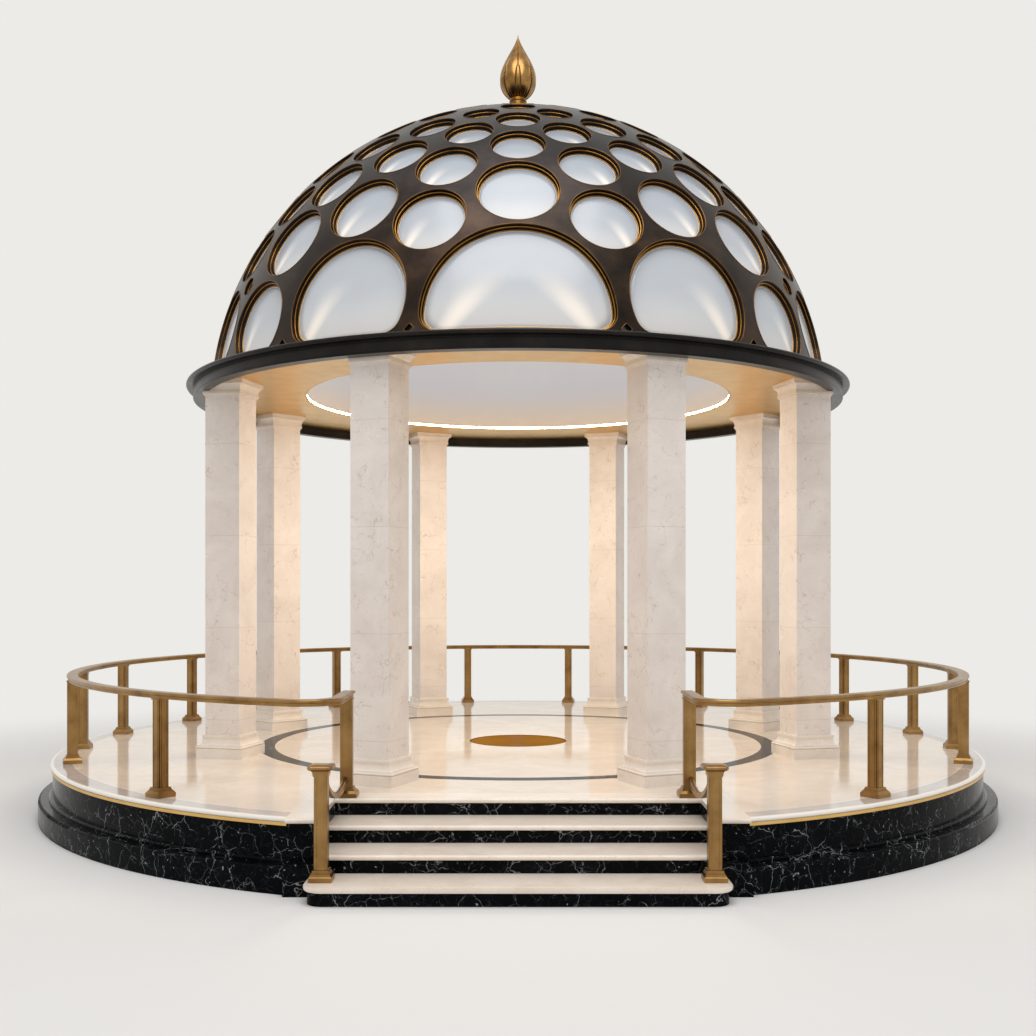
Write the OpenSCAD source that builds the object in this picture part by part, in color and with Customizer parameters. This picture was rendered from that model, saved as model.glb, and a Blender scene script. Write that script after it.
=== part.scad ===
/* [Podium] */
// How far the deck reaches past the dome
deck_out = 1697; // [1500:1:2300]
// How far the lower tier stands out from the deck's edge
plinth_out = 125; // [60:5:250]
// Height of the lower tier
plinth_h = 225; // [150:5:290]
// Rounding of the lower tier's top edge
plinth_round = 28; // [10:1:60]
// Set-back of the upper tier behind the deck's edge
drum_inset = 22; // [10:1:60]
// Width and height of the strip at the foot of the upper tier
foot_strip = 38; // [20:1:60]
// Height of the brass strip under the deck slab
strip_h = 28; // [12:1:40]
// Width of the brass strip
strip_w = 36; // [20:1:80]
// How far the brass strip stands out from the upper tier
strip_out = 14; // [4:1:20]
// Thickness of the deck slabs
slab_t = 42; // [30:1:60]
// Width of the border slabs along the deck's edge
border_w = 230; // [150:5:400]

/* [Floor] */
// Distance of the black floor ring inside the circle of the columns
floor_ring_in = 360; // [300:5:500]
// Width of the black floor ring
floor_ring_w = 190; // [80:5:300]
// Width of the pale fillet on each side of the black ring
fillet_w = 14; // [6:1:30]
// Radius of the brass floor medallion
medallion_r = 594; // [300:2:900]
// Width of the medallion's rim
medallion_rim = 16; // [8:1:40]

/* [Stairs] */
// Height of one step, four of which reach the deck
rise = 150; // [130:1:180]
// Depth of one step
going = 470; // [300:5:520]
// How far the top nosing lies inside the deck's edge
landing_in = 1230; // [1000:10:1300]
// Half the clear width between the cheek walls
stair_half_w = 1630; // [1200:5:1800]
// How far the bottom step stands out past the clear width on each side
bottom_step_out = 60; // [0:5:120]
// Radius of the bottom step's front corners
bottom_step_corner = 170; // [80:5:300]
// Overhang of the nosings
nosing = 30; // [15:1:50]
// Thickness of the riser panels
riser_t = 30; // [20:1:50]
// Width of the cheek walls
cheek_w = 235; // [180:5:350]
// Overhang of the cheek coping
cheek_cap_out = 28; // [10:1:50]
// How far the cheek walls' front lies inside the deck's edge
cheek_in = 310; // [180:5:480]
// Projection of the cheek's foot block
cheek_foot_out = 165; // [80:5:260]
// Height of the cheek's foot block
cheek_foot_h = 256; // [200:2:290]

/* [Columns] */
// Distance of the columns' circle inside the dome's radius
column_in = 193; // [160:1:290]
// Side of the square shaft
column_w = 412; // [320:2:430]
// Turn of the four columns on each side, from the front pair to the back pair
column_turns = [22.5, 14, 45, -22.5];
// Height of the base's plinth block
base_block_h = 105; // [70:5:160]
// Height of the mouldings between the plinth block and the shaft
base_mould_h = 145; // [110:5:200]
// Side of the base's plinth block
base_w = 556; // [500:2:600]
// Height of the capital's top slab
capital_slab_h = 42; // [30:2:80]
// Height of the mouldings between the shaft and the top slab
capital_mould_h = 133; // [110:1:200]
// Side of the capital's top slab
capital_w = 530; // [480:2:570]

/* [Ring beam] */
// Height of the soffit above the deck
soffit_h = 4186; // [3600:10:4800]
// Width of the soffit inwards from the dome's radius
soffit_w = 1091; // [900:1:1300]
// Thickness of the soffit plate
soffit_t = 30; // [20:1:50]
// How far the fascia stands out from the dome
fascia_out = 181; // [120:1:300]
// Thickness of the fascia
fascia_t = 120; // [60:5:140]
// How far the fascia hangs below the soffit
fascia_drop = 120; // [60:5:200]
// Projection of the lip above the fascia
lip_out = 86; // [40:2:140]
// Thickness of the lip
lip_t = 46; // [30:2:50]
// Height of the beam's top over the soffit
beam_top = 52; // [52:2:160]
// Width of the light strip at the soffit's inner edge
light_w = 26; // [8:1:40]

/* [Dome] */
// Outer radius of the pierced bronze shell
dome_r = 3683; // [3400:1:4000]
// Height of the beam's top over the dome's own centre
dome_rise = 346; // [250:2:500]
// Thickness of the bronze shell
dome_t = 80; // [60:5:120]
// Thickness of the glass panes behind the shell
glass_t = 26; // [12:1:40]
// Width of the ledge half way down each round opening
rim_step = 14; // [6:1:20]
// Depth of that ledge below the shell's outer face
rim_depth = 34; // [20:1:45]
// Height of the plain band between the beam and the lowest openings
sill_h = 60; // [40:2:100]
// Radius of the lower corners of the lowest openings
sill_corner = 190; // [100:5:220]

/* [Finial] */
// Height of the finial's foot over the dome's crown
finial_foot_h = 335; // [200:5:450]
// Height of the bud
bud_h = 795; // [500:5:1000]
// Widest diameter of the bud
bud_d = 455; // [300:5:600]
// Number of long petals round the bud
petals = 8; // [6:1:12]
// Share of the bud's height that the short petals reach
short_petal = 0.44; // [0.3:0.01:0.6]

/* [Railing] */
// Distance of the handrail inside the deck's edge
rail_in = 220; // [140:5:320]
// Height of the handrail's top above the deck
rail_h = 943; // [850:1:1100]
// Width of the handrail
rail_w = 116; // [80:2:140]
// Thickness of the handrail
rail_t = 58; // [40:1:80]
// Radius of the bend where the handrail turns in at the stairs
rail_bend_r = 260; // [200:5:320]
// Side of the square posts
post_w = 108; // [80:2:130]
// Side of the posts' feet
post_foot_w = 190; // [160:2:230]
// Height of the posts' feet
post_foot_h = 88; // [60:2:120]
// Places of the posts, as angles round the deck from its front
post_angles = [38.5, 68, 82, 98, 116, 131, 146, 158.5, 170.7];
// Distance of the upper newels inside the cheek walls
newel_in = 88; // [60:1:200]
// Setback of the upper newels behind the top nosing
newel_back = 130; // [110:5:200]
// Distance of the lower newels inside the cheek walls
low_newel_in = 70; // [60:1:200]
// Height of the lower newels over the bottom step
low_newel_h = 925; // [700:5:1100]

/* [Hidden] */

$fn = 96;
fine = 288;
marble_black = "#16181c";
marble_cream = "#e9ded2";
bronze = "#3a2d24";
brass_satin = "#a3814b";
glass_white = "#dfe6ee";

deck_r = dome_r + deck_out;
deck_z = 4 * rise;
slab_z = deck_z - slab_t;
drum_top_z = slab_z;
plinth_r = deck_r + plinth_out;
drum_r = deck_r - drum_inset;
border_in_r = deck_r - border_w;
soffit_z = deck_z + soffit_h;
beam_top_z = soffit_z + beam_top;
dome_z = beam_top_z - dome_rise;
glass_r = dome_r - dome_t;
glass_foot_r = sqrt(pow(glass_r - glass_t, 2) - dome_rise * dome_rise);
soffit_in_r = dome_r - soffit_w;
fascia_r = dome_r + fascia_out;
column_circle_r = dome_r - column_in;
floor_ring_r = column_circle_r - floor_ring_in;
base_h = base_block_h + base_mould_h;
capital_h = capital_slab_h + capital_mould_h;
rail_z = deck_z + rail_h;
tall = 2 * deck_r;
rail_r = deck_r - rail_in;
landing_y = deck_r - landing_in;
cheek_front_y = deck_r - cheek_in;
newel_x = stair_half_w - newel_in;
low_newel_x = stair_half_w - low_newel_in;
column_angles = [22.5, 67.5, 112.5, 157.5];

// The recess in the podium that holds the stairs and their cheek walls
bay_half_w = stair_half_w + cheek_w + cheek_cap_out;
bay_back_y = landing_y - 300;
step_front = [for (i = [0:3]) landing_y + i * going];
step_top = [for (i = [0:3]) deck_z - i * rise];
riser_back = nosing + riser_t;
seam = 0.4;

// Round openings of the dome on one quarter, mirrored to the other three:
// azimuth from the front, elevation from the dome's centre, angular radius
openings = [
    [15, 25.2, 5.8], [29, 29.4, 6.1], [45, 25.6, 6.4], [60.5, 26.6, 5.2], [75, 26, 6],
    [14, 36.8, 5], [26, 41.4, 4.7], [40.5, 37.2, 5.2], [54, 35.8, 4.6], [66.5, 37, 4.6], [78.5, 37, 4.2],
    [11.5, 46.6, 4], [23, 51, 4], [37.5, 47.4, 4.4], [52.5, 45.6, 4.5], [67.5, 46.8, 4.5], [79.5, 46.8, 3.4],
    [11, 56, 3.1], [28, 59.5, 3.4], [41.5, 56.5, 3.7], [59, 55.4, 3.8], [76, 56, 3.7], [56.5, 19.5, 1.6]
];
// Round openings on the front, back and side meridians: elevation, angular radius
meridian_openings = [[30.5, 6.4], [42, 4.4], [51.8, 3.7], [61, 3]];
// Openings that stand on the sill: azimuth, elevation, angular radius
sill_openings = [[0, 8.6, 14.8], [28, 12, 10.6], [49, 11.6, 7.2], [65.5, 13, 7.6], [90, 8.6, 14.8]];
// Rings of small openings near the crown: elevation, angular radius, count
crown_openings = [[68, 2.7, 16], [74.5, 2.3, 12]];
// Azimuths of the small three-cornered piercings between the openings on the sill
piercings = [16.3, 40.3, 57.2, 73.6];
piercing_w = 150;
// The glass dome's tiers of panes: elevation of the upper edge, number of panes round the dome
pane_tiers = [[20, 20], [34, 20], [48, 16], [62, 10], [76, 6], [90, 2]];

// A ring or disc turned from a profile of radius and height
module turned(in_r, out_r, low_z, high_z) {
    rotate_extrude($fn = fine)
        translate([in_r, low_z]) square([out_r - in_r, high_z - low_z]);
}

// The space that the stairs and cheek walls take out of the podium
module stair_bay() {
    translate([-bay_half_w, -tall, -1]) cube([2 * bay_half_w, tall - bay_back_y, deck_z + 2]);
}

// The podium's tiers come as three blocks: one behind the stairs and one on each side of them
module podium_blocks() {
    intersection() {
        children();
        translate([-tall, -bay_back_y, -1]) cube([2 * tall, 2 * tall, deck_z + 2]);
    }
    for (side = [0, 1]) mirror([side, 0, 0])
        intersection() {
            children();
            translate([bay_half_w, -tall, -1]) cube([tall, tall - bay_back_y - seam, deck_z + 2]);
        }
}

module podium_plinth() {
    color(marble_black)
    podium_blocks()
        rotate_extrude($fn = fine)
            union() {
                square([plinth_r - plinth_round, plinth_h]);
                square([plinth_r, plinth_h - plinth_round]);
                translate([plinth_r - plinth_round, plinth_h - plinth_round])
                    circle(plinth_round, $fn = 48);
            }
}

module podium_drum() {
    bevel = foot_strip * 0.45;
    color(marble_black)
    podium_blocks()
        rotate_extrude($fn = fine)
            translate([0, plinth_h])
                polygon([
                    [0, 0], [drum_r + foot_strip, 0], [drum_r + foot_strip, foot_strip - bevel],
                    [drum_r + foot_strip - bevel, foot_strip], [drum_r, foot_strip + 4],
                    [drum_r, drum_top_z - strip_h - plinth_h],
                    [drum_r - strip_w, drum_top_z - strip_h - plinth_h],
                    [drum_r - strip_w, drum_top_z - plinth_h], [0, drum_top_z - plinth_h]
                ]);
}

// Brass strip that shows as a thin line under the deck's slabs
module edge_strip() {
    color(brass_satin)
    difference() {
        turned(drum_r - strip_w, drum_r + strip_out, drum_top_z - strip_h, drum_top_z);
        stair_bay();
    }
}

module deck_border() {
    color(marble_cream)
    difference() {
        rotate_extrude($fn = fine)
            union() {
                translate([border_in_r, slab_z]) square([border_w - slab_t / 2, slab_t]);
                translate([deck_r - slab_t / 2, slab_z + slab_t / 2]) circle(slab_t / 2, $fn = 32);
            }
        stair_bay();
    }
}

module deck_paving() {
    color(marble_cream)
    difference() {
        turned(floor_ring_r + fillet_w, border_in_r, slab_z, deck_z);
        stair_bay();
    }
}

floor_ring_in_r = floor_ring_r - floor_ring_w;

module floor_ring() {
    color(marble_black)
    turned(floor_ring_in_r, floor_ring_r, slab_z, deck_z);
}

// Thin pale strips that line the black ring on both sides
module floor_ring_fillets() {
    color("#d9c8a8") {
        turned(floor_ring_r, floor_ring_r + fillet_w, slab_z, deck_z);
        turned(floor_ring_in_r - fillet_w, floor_ring_in_r, slab_z, deck_z);
    }
}

module inner_floor() {
    color(marble_cream)
    turned(medallion_r, floor_ring_in_r - fillet_w, slab_z, deck_z);
}

module floor_medallion() {
    color(brass_satin)
    rotate_extrude()
        union() {
            translate([0, slab_z]) square([medallion_r, slab_t - 3]);
            translate([medallion_r - medallion_rim, slab_z]) square([medallion_rim, slab_t]);
        }
}

// A slab whose front edge is a full bullnose, lying along X with its front at -front_y
module nosed_slab(half_w, front_y, back_y, top_z) {
    r = slab_t / 2;
    translate([-half_w, -front_y + r, top_z - slab_t]) cube([2 * half_w, front_y - r - back_y, slab_t]);
    translate([-half_w, -front_y + r, top_z - r]) rotate([0, 90, 0]) cylinder(r = r, h = 2 * half_w);
}

module stair_landing() {
    color(marble_cream)
    nosed_slab(stair_half_w, landing_y, bay_back_y, deck_z);
}

// Treads 1 and 2 run between the cheek walls
module plain_tread(i) {
    color(marble_cream)
    nosed_slab(stair_half_w, step_front[i], step_front[i - 1] - riser_back, step_top[i]);
}

module tread_1() { plain_tread(1); }
module tread_2() { plain_tread(2); }

// Outline of the bottom step, which widens in front of the cheek walls
module bottom_outline(inset) {
    half_w = stair_half_w + bottom_step_out - inset;
    corner = bottom_step_corner - inset;
    front = step_front[3] - inset;
    foot_y = cheek_front_y + cheek_foot_out;
    back = step_front[2] - riser_back;
    union() {
        translate([-half_w + corner, -front]) square([2 * (half_w - corner), front - foot_y]);
        translate([-half_w, -front + corner]) square([2 * half_w, front - corner - foot_y]);
        for (x = [-1, 1]) translate([x * (half_w - corner), -front + corner]) circle(corner);
        translate([-stair_half_w, -foot_y]) square([2 * stair_half_w, foot_y - back]);
    }
}

// The bottom tread, its bullnose built up in thin layers that follow the outline
module tread_3() {
    r = slab_t / 2;
    layers = 7;
    layer_t = slab_t / layers;
    color(marble_cream)
    for (k = [0:layers - 1]) {
        middle = (k + 0.5) * layer_t - r;
        translate([0, 0, step_top[3] - slab_t + k * layer_t])
            linear_extrude(layer_t) bottom_outline(r - sqrt(r * r - middle * middle));
    }
}

// Four polished riser panels, one under each nosing
module stair_risers() {
    color(marble_black) {
        for (i = [0:2])
            translate([-stair_half_w, -step_front[i] + nosing, step_top[i + 1]])
                cube([2 * stair_half_w, riser_t, rise - slab_t]);
        linear_extrude(rise - slab_t)
            difference() {
                bottom_outline(nosing);
                bottom_outline(riser_back);
                translate([-tall, -step_front[3] + bottom_step_corner + 300]) square(2 * tall);
            }
    }
}

// Masonry under the treads: one block for each step
module stair_core() {
    color("#2a2c30") {
        for (i = [0:2]) {
            front = step_front[i] - riser_back;
            back = i == 0 ? bay_back_y : step_front[i - 1] - riser_back + seam;
            translate([-stair_half_w, -front, 0])
                cube([2 * stair_half_w, front - back, step_top[i] - slab_t]);
        }
        linear_extrude(step_top[3] - slab_t)
            difference() {
                bottom_outline(riser_back);
                translate([-tall, -step_front[2] + riser_back - seam]) square(2 * tall);
            }
    }
}

// Cheek walls beside the stairs, each with a foot block in front
module stair_cheeks() {
    color(marble_black)
    for (side = [0, 1]) mirror([side, 0, 0])
        translate([stair_half_w, 0, 0]) {
            translate([0, -cheek_front_y, 0]) cube([cheek_w, cheek_front_y - bay_back_y, slab_z]);
            translate([0, -cheek_front_y + 40, 0])
                cube([cheek_w + cheek_cap_out, cheek_front_y - 40 - bay_back_y, slab_z]);
            translate([0, -cheek_front_y - cheek_foot_out, 0])
                cube([cheek_w + 20, cheek_foot_out + 40, cheek_foot_h - 12]);
            translate([0, -cheek_front_y - cheek_foot_out + 12, 0])
                cube([cheek_w + 8, cheek_foot_out + 28, cheek_foot_h]);
        }
}

// Coping slabs on the cheek walls, flush with the deck
module cheek_copings() {
    r = slab_t / 2;
    w = cheek_w + cheek_cap_out;
    front = cheek_front_y + cheek_cap_out;
    color(marble_cream)
    for (side = [0, 1]) mirror([side, 0, 0])
        translate([stair_half_w, -front + r, slab_z]) {
            cube([w, front - r - bay_back_y, slab_t]);
            translate([0, 0, r]) rotate([0, 90, 0]) cylinder(r = r, h = w);
        }
}

// A square block whose four sides have the same moulded outline, mitred at the corners.
// The children give half of the outline: distance from the axis and height.
module square_moulding(w) {
    intersection_for (turn = [0, 90])
        rotate([90, 0, turn])
            linear_extrude(w + 2, center = true)
                union() {
                    children();
                    mirror([1, 0]) children();
                }
}

// Places column i (0 to 3, front to back) on one side
module at_column(side, i) {
    a = column_angles[i];
    translate([side * column_circle_r * sin(a), -column_circle_r * cos(a), 0])
        rotate(side * column_turns[i]) children();
}

module column_shaft(side, i) {
    color(marble_cream)
    at_column(side, i)
        translate([-column_w / 2, -column_w / 2, deck_z + base_h])
            cube([column_w, column_w, soffit_h - base_h - capital_h]);
}

// Half outline of the base: plinth block, ovolo, fillet, cove and a projecting top fillet
module base_outline() {
    half = base_w / 2;
    shaft = column_w / 2;
    ovolo = base_mould_h * 0.18;
    fillet = base_mould_h * 0.07;
    top = base_mould_h * 0.19;
    cove_z = base_block_h + ovolo + fillet;
    cove = base_h - top - cove_z;
    square([half, base_block_h]);
    square([half - ovolo / 2, base_block_h + ovolo]);
    translate([half - ovolo / 2, base_block_h + ovolo / 2]) circle(ovolo / 2);
    square([half - ovolo * 0.7, cove_z]);
    polygon(concat(
        [[0, cove_z]],
        [for (t = [0:15:90]) [shaft + 18 + 32 * (1 - sin(t)), cove_z + cove * (1 - cos(t))]],
        [[0, cove_z + cove]]
    ));
    translate([0, base_h - top]) square([shaft + 26, top - 6]);
    square([shaft + 20, base_h]);
}

// Half outline of the capital: neck fillets, cavetto, bead and top slab
module capital_outline() {
    half = capital_w / 2;
    shaft = column_w / 2;
    neck = capital_mould_h * 0.34;
    bead = capital_mould_h * 0.09;
    cavetto = capital_mould_h - neck - bead;
    square([shaft, capital_h]);
    square([shaft + 10, neck * 0.42]);
    translate([0, neck * 0.42]) square([shaft + 20, neck * 0.58]);
    polygon(concat(
        [[0, neck]],
        [for (t = [0:15:90]) [shaft + 14 + (half - shaft - 24) * (1 - cos(t)), neck + cavetto * sin(t)]],
        [[0, neck + cavetto]]
    ));
    translate([0, capital_mould_h - bead]) square([half - 6 - bead / 2, bead]);
    translate([half - 6 - bead / 2, capital_mould_h - bead / 2]) circle(bead / 2);
    translate([0, capital_mould_h]) square([half, capital_slab_h]);
}

module column_bases() {
    color(marble_cream)
    for (side = [-1, 1]) for (i = [0:3])
        at_column(side, i) translate([0, 0, deck_z]) square_moulding(base_w) base_outline();
}

module column_capitals() {
    color(marble_cream)
    for (side = [-1, 1]) for (i = [0:3])
        at_column(side, i)
            translate([0, 0, soffit_z - capital_h]) square_moulding(capital_w) capital_outline();
}

// Section of the beam: hanging fascia with a bead at its foot, a rounded lip, and the seat for the dome
module beam_section() {
    lip_r = lip_t / 2;
    foot_bead = 9;
    translate([fascia_r - fascia_t, soffit_z - fascia_drop])
        square([fascia_t, fascia_drop + beam_top - lip_t]);
    translate([fascia_r, soffit_z - fascia_drop + foot_bead]) circle(foot_bead);
    translate([fascia_r - fascia_t, beam_top_z - lip_t - 18]) square([fascia_t + 14, 18]);
    translate([fascia_r - fascia_t, beam_top_z - lip_t]) square([fascia_t + lip_out - lip_r, lip_t]);
    translate([fascia_r + lip_out - lip_r, beam_top_z - lip_r]) circle(lip_r);
    translate([glass_foot_r - 60, soffit_z + soffit_t]) square([fascia_r - glass_foot_r, beam_top - soffit_t]);
}

// Dark bronze beam in eight lengths that meet over the columns
module ring_beam() {
    gap = seam / fascia_r * 180 / PI;
    color(bronze)
    for (a = column_angles) for (half_turn = [0, 180])
        rotate([0, 0, a + half_turn + gap / 2])
            rotate_extrude(angle = 45 - gap, $fn = fine) beam_section();
}

module soffit_ring() {
    color(brass_satin)
    turned(soffit_in_r, fascia_r - fascia_t, soffit_z, soffit_z + soffit_t);
}

module light_strip() {
    color("#ffe2ac")
    turned(soffit_in_r - light_w, soffit_in_r, soffit_z + 4, soffit_z + soffit_t - 2);
}

// Turns its children to point outwards from the dome's centre
module toward(azimuth, elevation) {
    rotate([0, 0, azimuth - 90]) rotate([0, 90 - elevation, 0]) children();
}

// A solid with radial sides between two distances from the dome's centre.
// The children are its outline on a plane that touches the shell's outer face.
module radial_prism(from, to) {
    translate([0, 0, from]) linear_extrude(to - from, scale = to / from) scale(from / dome_r) children();
}

// A straight round bore through the bronze shell, from one distance out
module bore(azimuth, elevation, radius, from) {
    toward(azimuth, elevation) translate([0, 0, from]) cylinder(r = radius, h = dome_r * 1.1 - from);
}

// A round opening with a ledge below the outer face
module round_opening(azimuth, elevation, half_angle) {
    r = dome_r * sin(half_angle);
    bore(azimuth, elevation, r - rim_step, dome_r * 0.8);
    bore(azimuth, elevation, r, (dome_r - rim_depth) * cos(half_angle));
}

sill_angle = asin((dome_rise + sill_h) / dome_r);

// An opening that stands on the sill: a circle cut off level, with rounded lower corners
module sill_opening(azimuth, elevation, half_angle, inset) {
    r = dome_r * tan(half_angle);
    sill_x = dome_r * tan(elevation - sill_angle);
    toward(azimuth, elevation)
        radial_prism(glass_r * 0.9, dome_r * 1.1)
            offset(r = sill_corner - inset, $fn = 24) offset(delta = -sill_corner)
                intersection() {
                    circle(r, $fn = 48);
                    translate([-2 * r, -2 * r]) square([2 * r + sill_x, 4 * r]);
                }
}

// A small three-cornered piercing that stands on the sill
module piercing(azimuth, inset) {
    w = piercing_w / 2;
    toward(azimuth, sill_angle)
        radial_prism(glass_r * 0.9, dome_r * 1.1)
            offset(r = 16 - inset / 2, $fn = 12) offset(delta = -16)
                polygon([[0, -w], [0, w], [-1.1 * w, 0]]);
}

// The round openings that lie within or reach into one quarter of the dome
module quarter_rounds(middle) {
    along = middle % 180 == 0;
    for (o = meridian_openings) round_opening(middle, o[0], o[1]);
    for (o = openings) for (side = [-1, 1]) {
        a = along ? o[0] : 90 - o[0];
        if (a - o[2] * 1.8 < 46) round_opening(middle + side * a, o[1], o[2]);
    }
    for (ring = crown_openings) for (k = [0:ring[2] - 1]) {
        a = k * 360 / ring[2];
        off = (a - middle + 540) % 360 - 180;
        if (abs(off) < 60) round_opening(a, ring[0], ring[1]);
    }
}

// The openings on the sill that lie within or reach into one quarter, made smaller by inset
module quarter_sills(middle, inset) {
    along = middle % 180 == 0;
    for (o = sill_openings) {
        a = along ? o[0] : 90 - o[0];
        if (a == 0) sill_opening(middle, o[1], o[2], inset);
        else if (a - o[2] < 46) for (side = [-1, 1]) sill_opening(middle + side * a, o[1], o[2], inset);
    }
    for (p = piercings) for (side = [-1, 1]) {
        a = along ? p : 90 - p;
        if (a < 46) piercing(middle + side * a, inset);
    }
}

// Section of a dome of one radius and thickness, above the beam
module dome_section(r, t) {
    intersection() {
        difference() {
            circle(r, $fn = fine);
            circle(r - t, $fn = fine);
        }
        translate([0, dome_rise]) square(r);
    }
}

// One quarter of the pierced bronze shell; each opening has a ledge below the outer face
module lattice(middle) {
    color(bronze)
    difference() {
        translate([0, 0, dome_z])
            rotate([0, 0, middle - 135])
                rotate_extrude(angle = 90, $fn = fine) dome_section(dome_r, dome_t);
        translate([0, 0, dome_z]) {
            quarter_rounds(middle);
            quarter_sills(middle, rim_step);
        }
        translate([0, 0, dome_z])
            difference() {
                quarter_sills(middle, 0);
                sphere(dome_r - rim_depth, $fn = fine);
            }
    }
}

// Section of one tier of the glass between two elevations
module pane_section(low, high) {
    far = 2 * glass_r;
    intersection() {
        dome_section(glass_r, glass_t);
        polygon([[0, 0], [far * cos(low), far * sin(low)], [far * cos(high), far * sin(high)]]);
    }
}

// Half of the glass dome: curved panes in tiers, with thin joints between them
module glass(middle) {
    joint_angle = seam / glass_r * 180 / PI;
    color(glass_white)
    translate([0, 0, dome_z])
        for (t = [0:len(pane_tiers) - 1]) {
            low = t == 0 ? 0 : pane_tiers[t - 1][0];
            high = pane_tiers[t][0];
            step = 360 / pane_tiers[t][1];
            gap = joint_angle / cos(low);
            for (k = [0:pane_tiers[t][1] / 2 - 1])
                rotate([0, 0, middle - 180 + k * step + gap / 2])
                    rotate_extrude(angle = step - gap, $fn = fine)
                        pane_section(low, high == 90 ? high : high - joint_angle);
        }
}

finial_z = dome_z + dome_r;
bud_z = finial_z + finial_foot_h;
foot_r = 190;
collar_r = 108;

// Turned foot that carries the bud on the crown of the dome
module finial_foot() {
    color(brass_satin)
    rotate_extrude()
        difference() {
            union() {
                translate([0, finial_z - 60]) square([foot_r + 50, 60 + 50]);
                translate([0, finial_z + 50]) square([foot_r, 26]);
                translate([0, finial_z + 76]) square([foot_r - 90, finial_foot_h - 76]);
                translate([foot_r - 90, finial_z + 166]) circle(26);
                translate([0, bud_z - 44]) square([collar_r - 10, 44]);
                translate([collar_r - 12, bud_z - 32]) circle(12);
                translate([collar_r - 22, bud_z - 10]) circle(10);
            }
            translate([0, dome_z]) circle(dome_r, $fn = 720);
        }
}

// Radius of the bud at a share t of its height: a teardrop, u^a (1 - u)^b, widest below the middle
function bud_radius(t) =
    let (u = (t + 0.06) / 1.06) bud_d / 2 * (0.015 + 4.48 * pow(u, 0.79) * pow(1 - u, 1.6));

// Half width, in degrees, of the short inner petals that show between the long ones
function short_petal_angle(t) =
    t < short_petal ? 72 / petals * sqrt(1 - pow(t / short_petal, 3)) : 0;

// Relief of the petals at an angle off the nearest seam: long petals swell, short ones lie recessed
function petal_relief(off, t) =
    let (w = short_petal_angle(t), fade = 1 - t * t)
    off < w ? 1 - 0.075 * fade + 0.03 * fade * (1 - pow(off / w, 2))
            : 1 - 0.055 * fade * pow(1 - sin(off * petals / 2), 2);

// Angle between a direction and the nearest seam, one of which faces the front
function seam_offset(a) = let (pitch = 360 / petals, m = (a + 90) % pitch) min(m, pitch - m);

module finial() {
    sides = petals * 16;
    rings = 26;
    points = [
        for (j = [0:rings]) for (k = [0:sides - 1])
            let (t = j / rings, a = 360 * k / sides, r = bud_radius(t) * petal_relief(seam_offset(a), t))
            [r * cos(a), r * sin(a), bud_z + bud_h * t]
    ];
    skin = [
        for (j = [0:rings - 1]) for (k = [0:sides - 1])
            [j * sides + k, (j + 1) * sides + k, (j + 1) * sides + (k + 1) % sides,
             j * sides + (k + 1) % sides]
    ];
    bottom = [for (k = [0:sides - 1]) k];
    top = [for (k = [0:sides - 1]) (rings + 1) * sides - 1 - k];
    color(brass_satin)
    polyhedron(points, concat(skin, [bottom, top]), convexity = 4);
}

// Section of the handrail: a bullnosed top over a cove and a narrower moulded bed
module rail_section() {
    crown = rail_t * 0.56;
    bed = rail_t * 0.24;
    $fn = 48;
    translate([-rail_w / 2 + crown / 2, rail_t - crown]) square([rail_w - crown, crown]);
    for (side = [-1, 1]) translate([side * (rail_w - crown) / 2, rail_t - crown / 2]) circle(crown / 2);
    translate([-rail_w * 0.33, 0]) square([rail_w * 0.66, rail_t / 2]);
    translate([-rail_w * 0.38, 0]) square([rail_w * 0.76, bed]);
}

// The handrail's joints lie over the posts, as thin gaps given as an angle on its long arc
joint = 0.005;
bend_angle = asin((newel_x + rail_bend_r) / (rail_r - rail_bend_r));
bend_y = (rail_r - rail_bend_r) * cos(bend_angle);
newel_y = landing_y - newel_back;
rail_end_y = newel_y - 148;
rail_joints = concat([bend_angle], post_angles, [180]);

// Half of the handrail: lengths from post to post, the bend, and the straight end over the newel
module handrail(side) {
    straight = bend_y - rail_end_y - seam;
    color(brass_satin)
    mirror([side > 0 ? 0 : 1, 0, 0])
        translate([0, 0, rail_z - rail_t]) {
            for (i = [1:len(rail_joints) - 1])
                rotate([0, 0, rail_joints[i - 1] - 90 + joint])
                    rotate_extrude(angle = rail_joints[i] - rail_joints[i - 1] - joint, $fn = fine)
                        translate([rail_r, 0]) rail_section();
            translate([newel_x + rail_bend_r, -bend_y, 0])
                rotate([0, 0, 180])
                    rotate_extrude(angle = 90 + bend_angle) translate([rail_bend_r, 0]) rail_section();
            translate([newel_x, -rail_end_y, 0])
                intersection() {
                    rotate([90, 0, 0]) linear_extrude(straight) rail_section();
                    rotate([90, 0, 90])
                        linear_extrude(2 * rail_w, center = true) mirror([1, 0]) {
                            translate([rail_w / 2, 0]) rail_section();
                            translate([rail_w / 2, 0]) square([straight, rail_t]);
                        }
                }
        }
}

// Outline of a square post: recessed corners and a shallow groove along both edges of each face
module post_outline() {
    nick = 11;
    groove = 5;
    groove_at = post_w / 2 - nick - 14;
    difference() {
        square(post_w, center = true);
        for (x = [-1, 1]) for (y = [-1, 1])
            translate([x * post_w / 2, y * post_w / 2]) square(2 * nick, center = true);
        for (turn = [0:90:270]) rotate(turn) for (y = [-1, 1])
            translate([post_w / 2, y * groove_at]) square([2 * groove, groove], center = true);
    }
}

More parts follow.
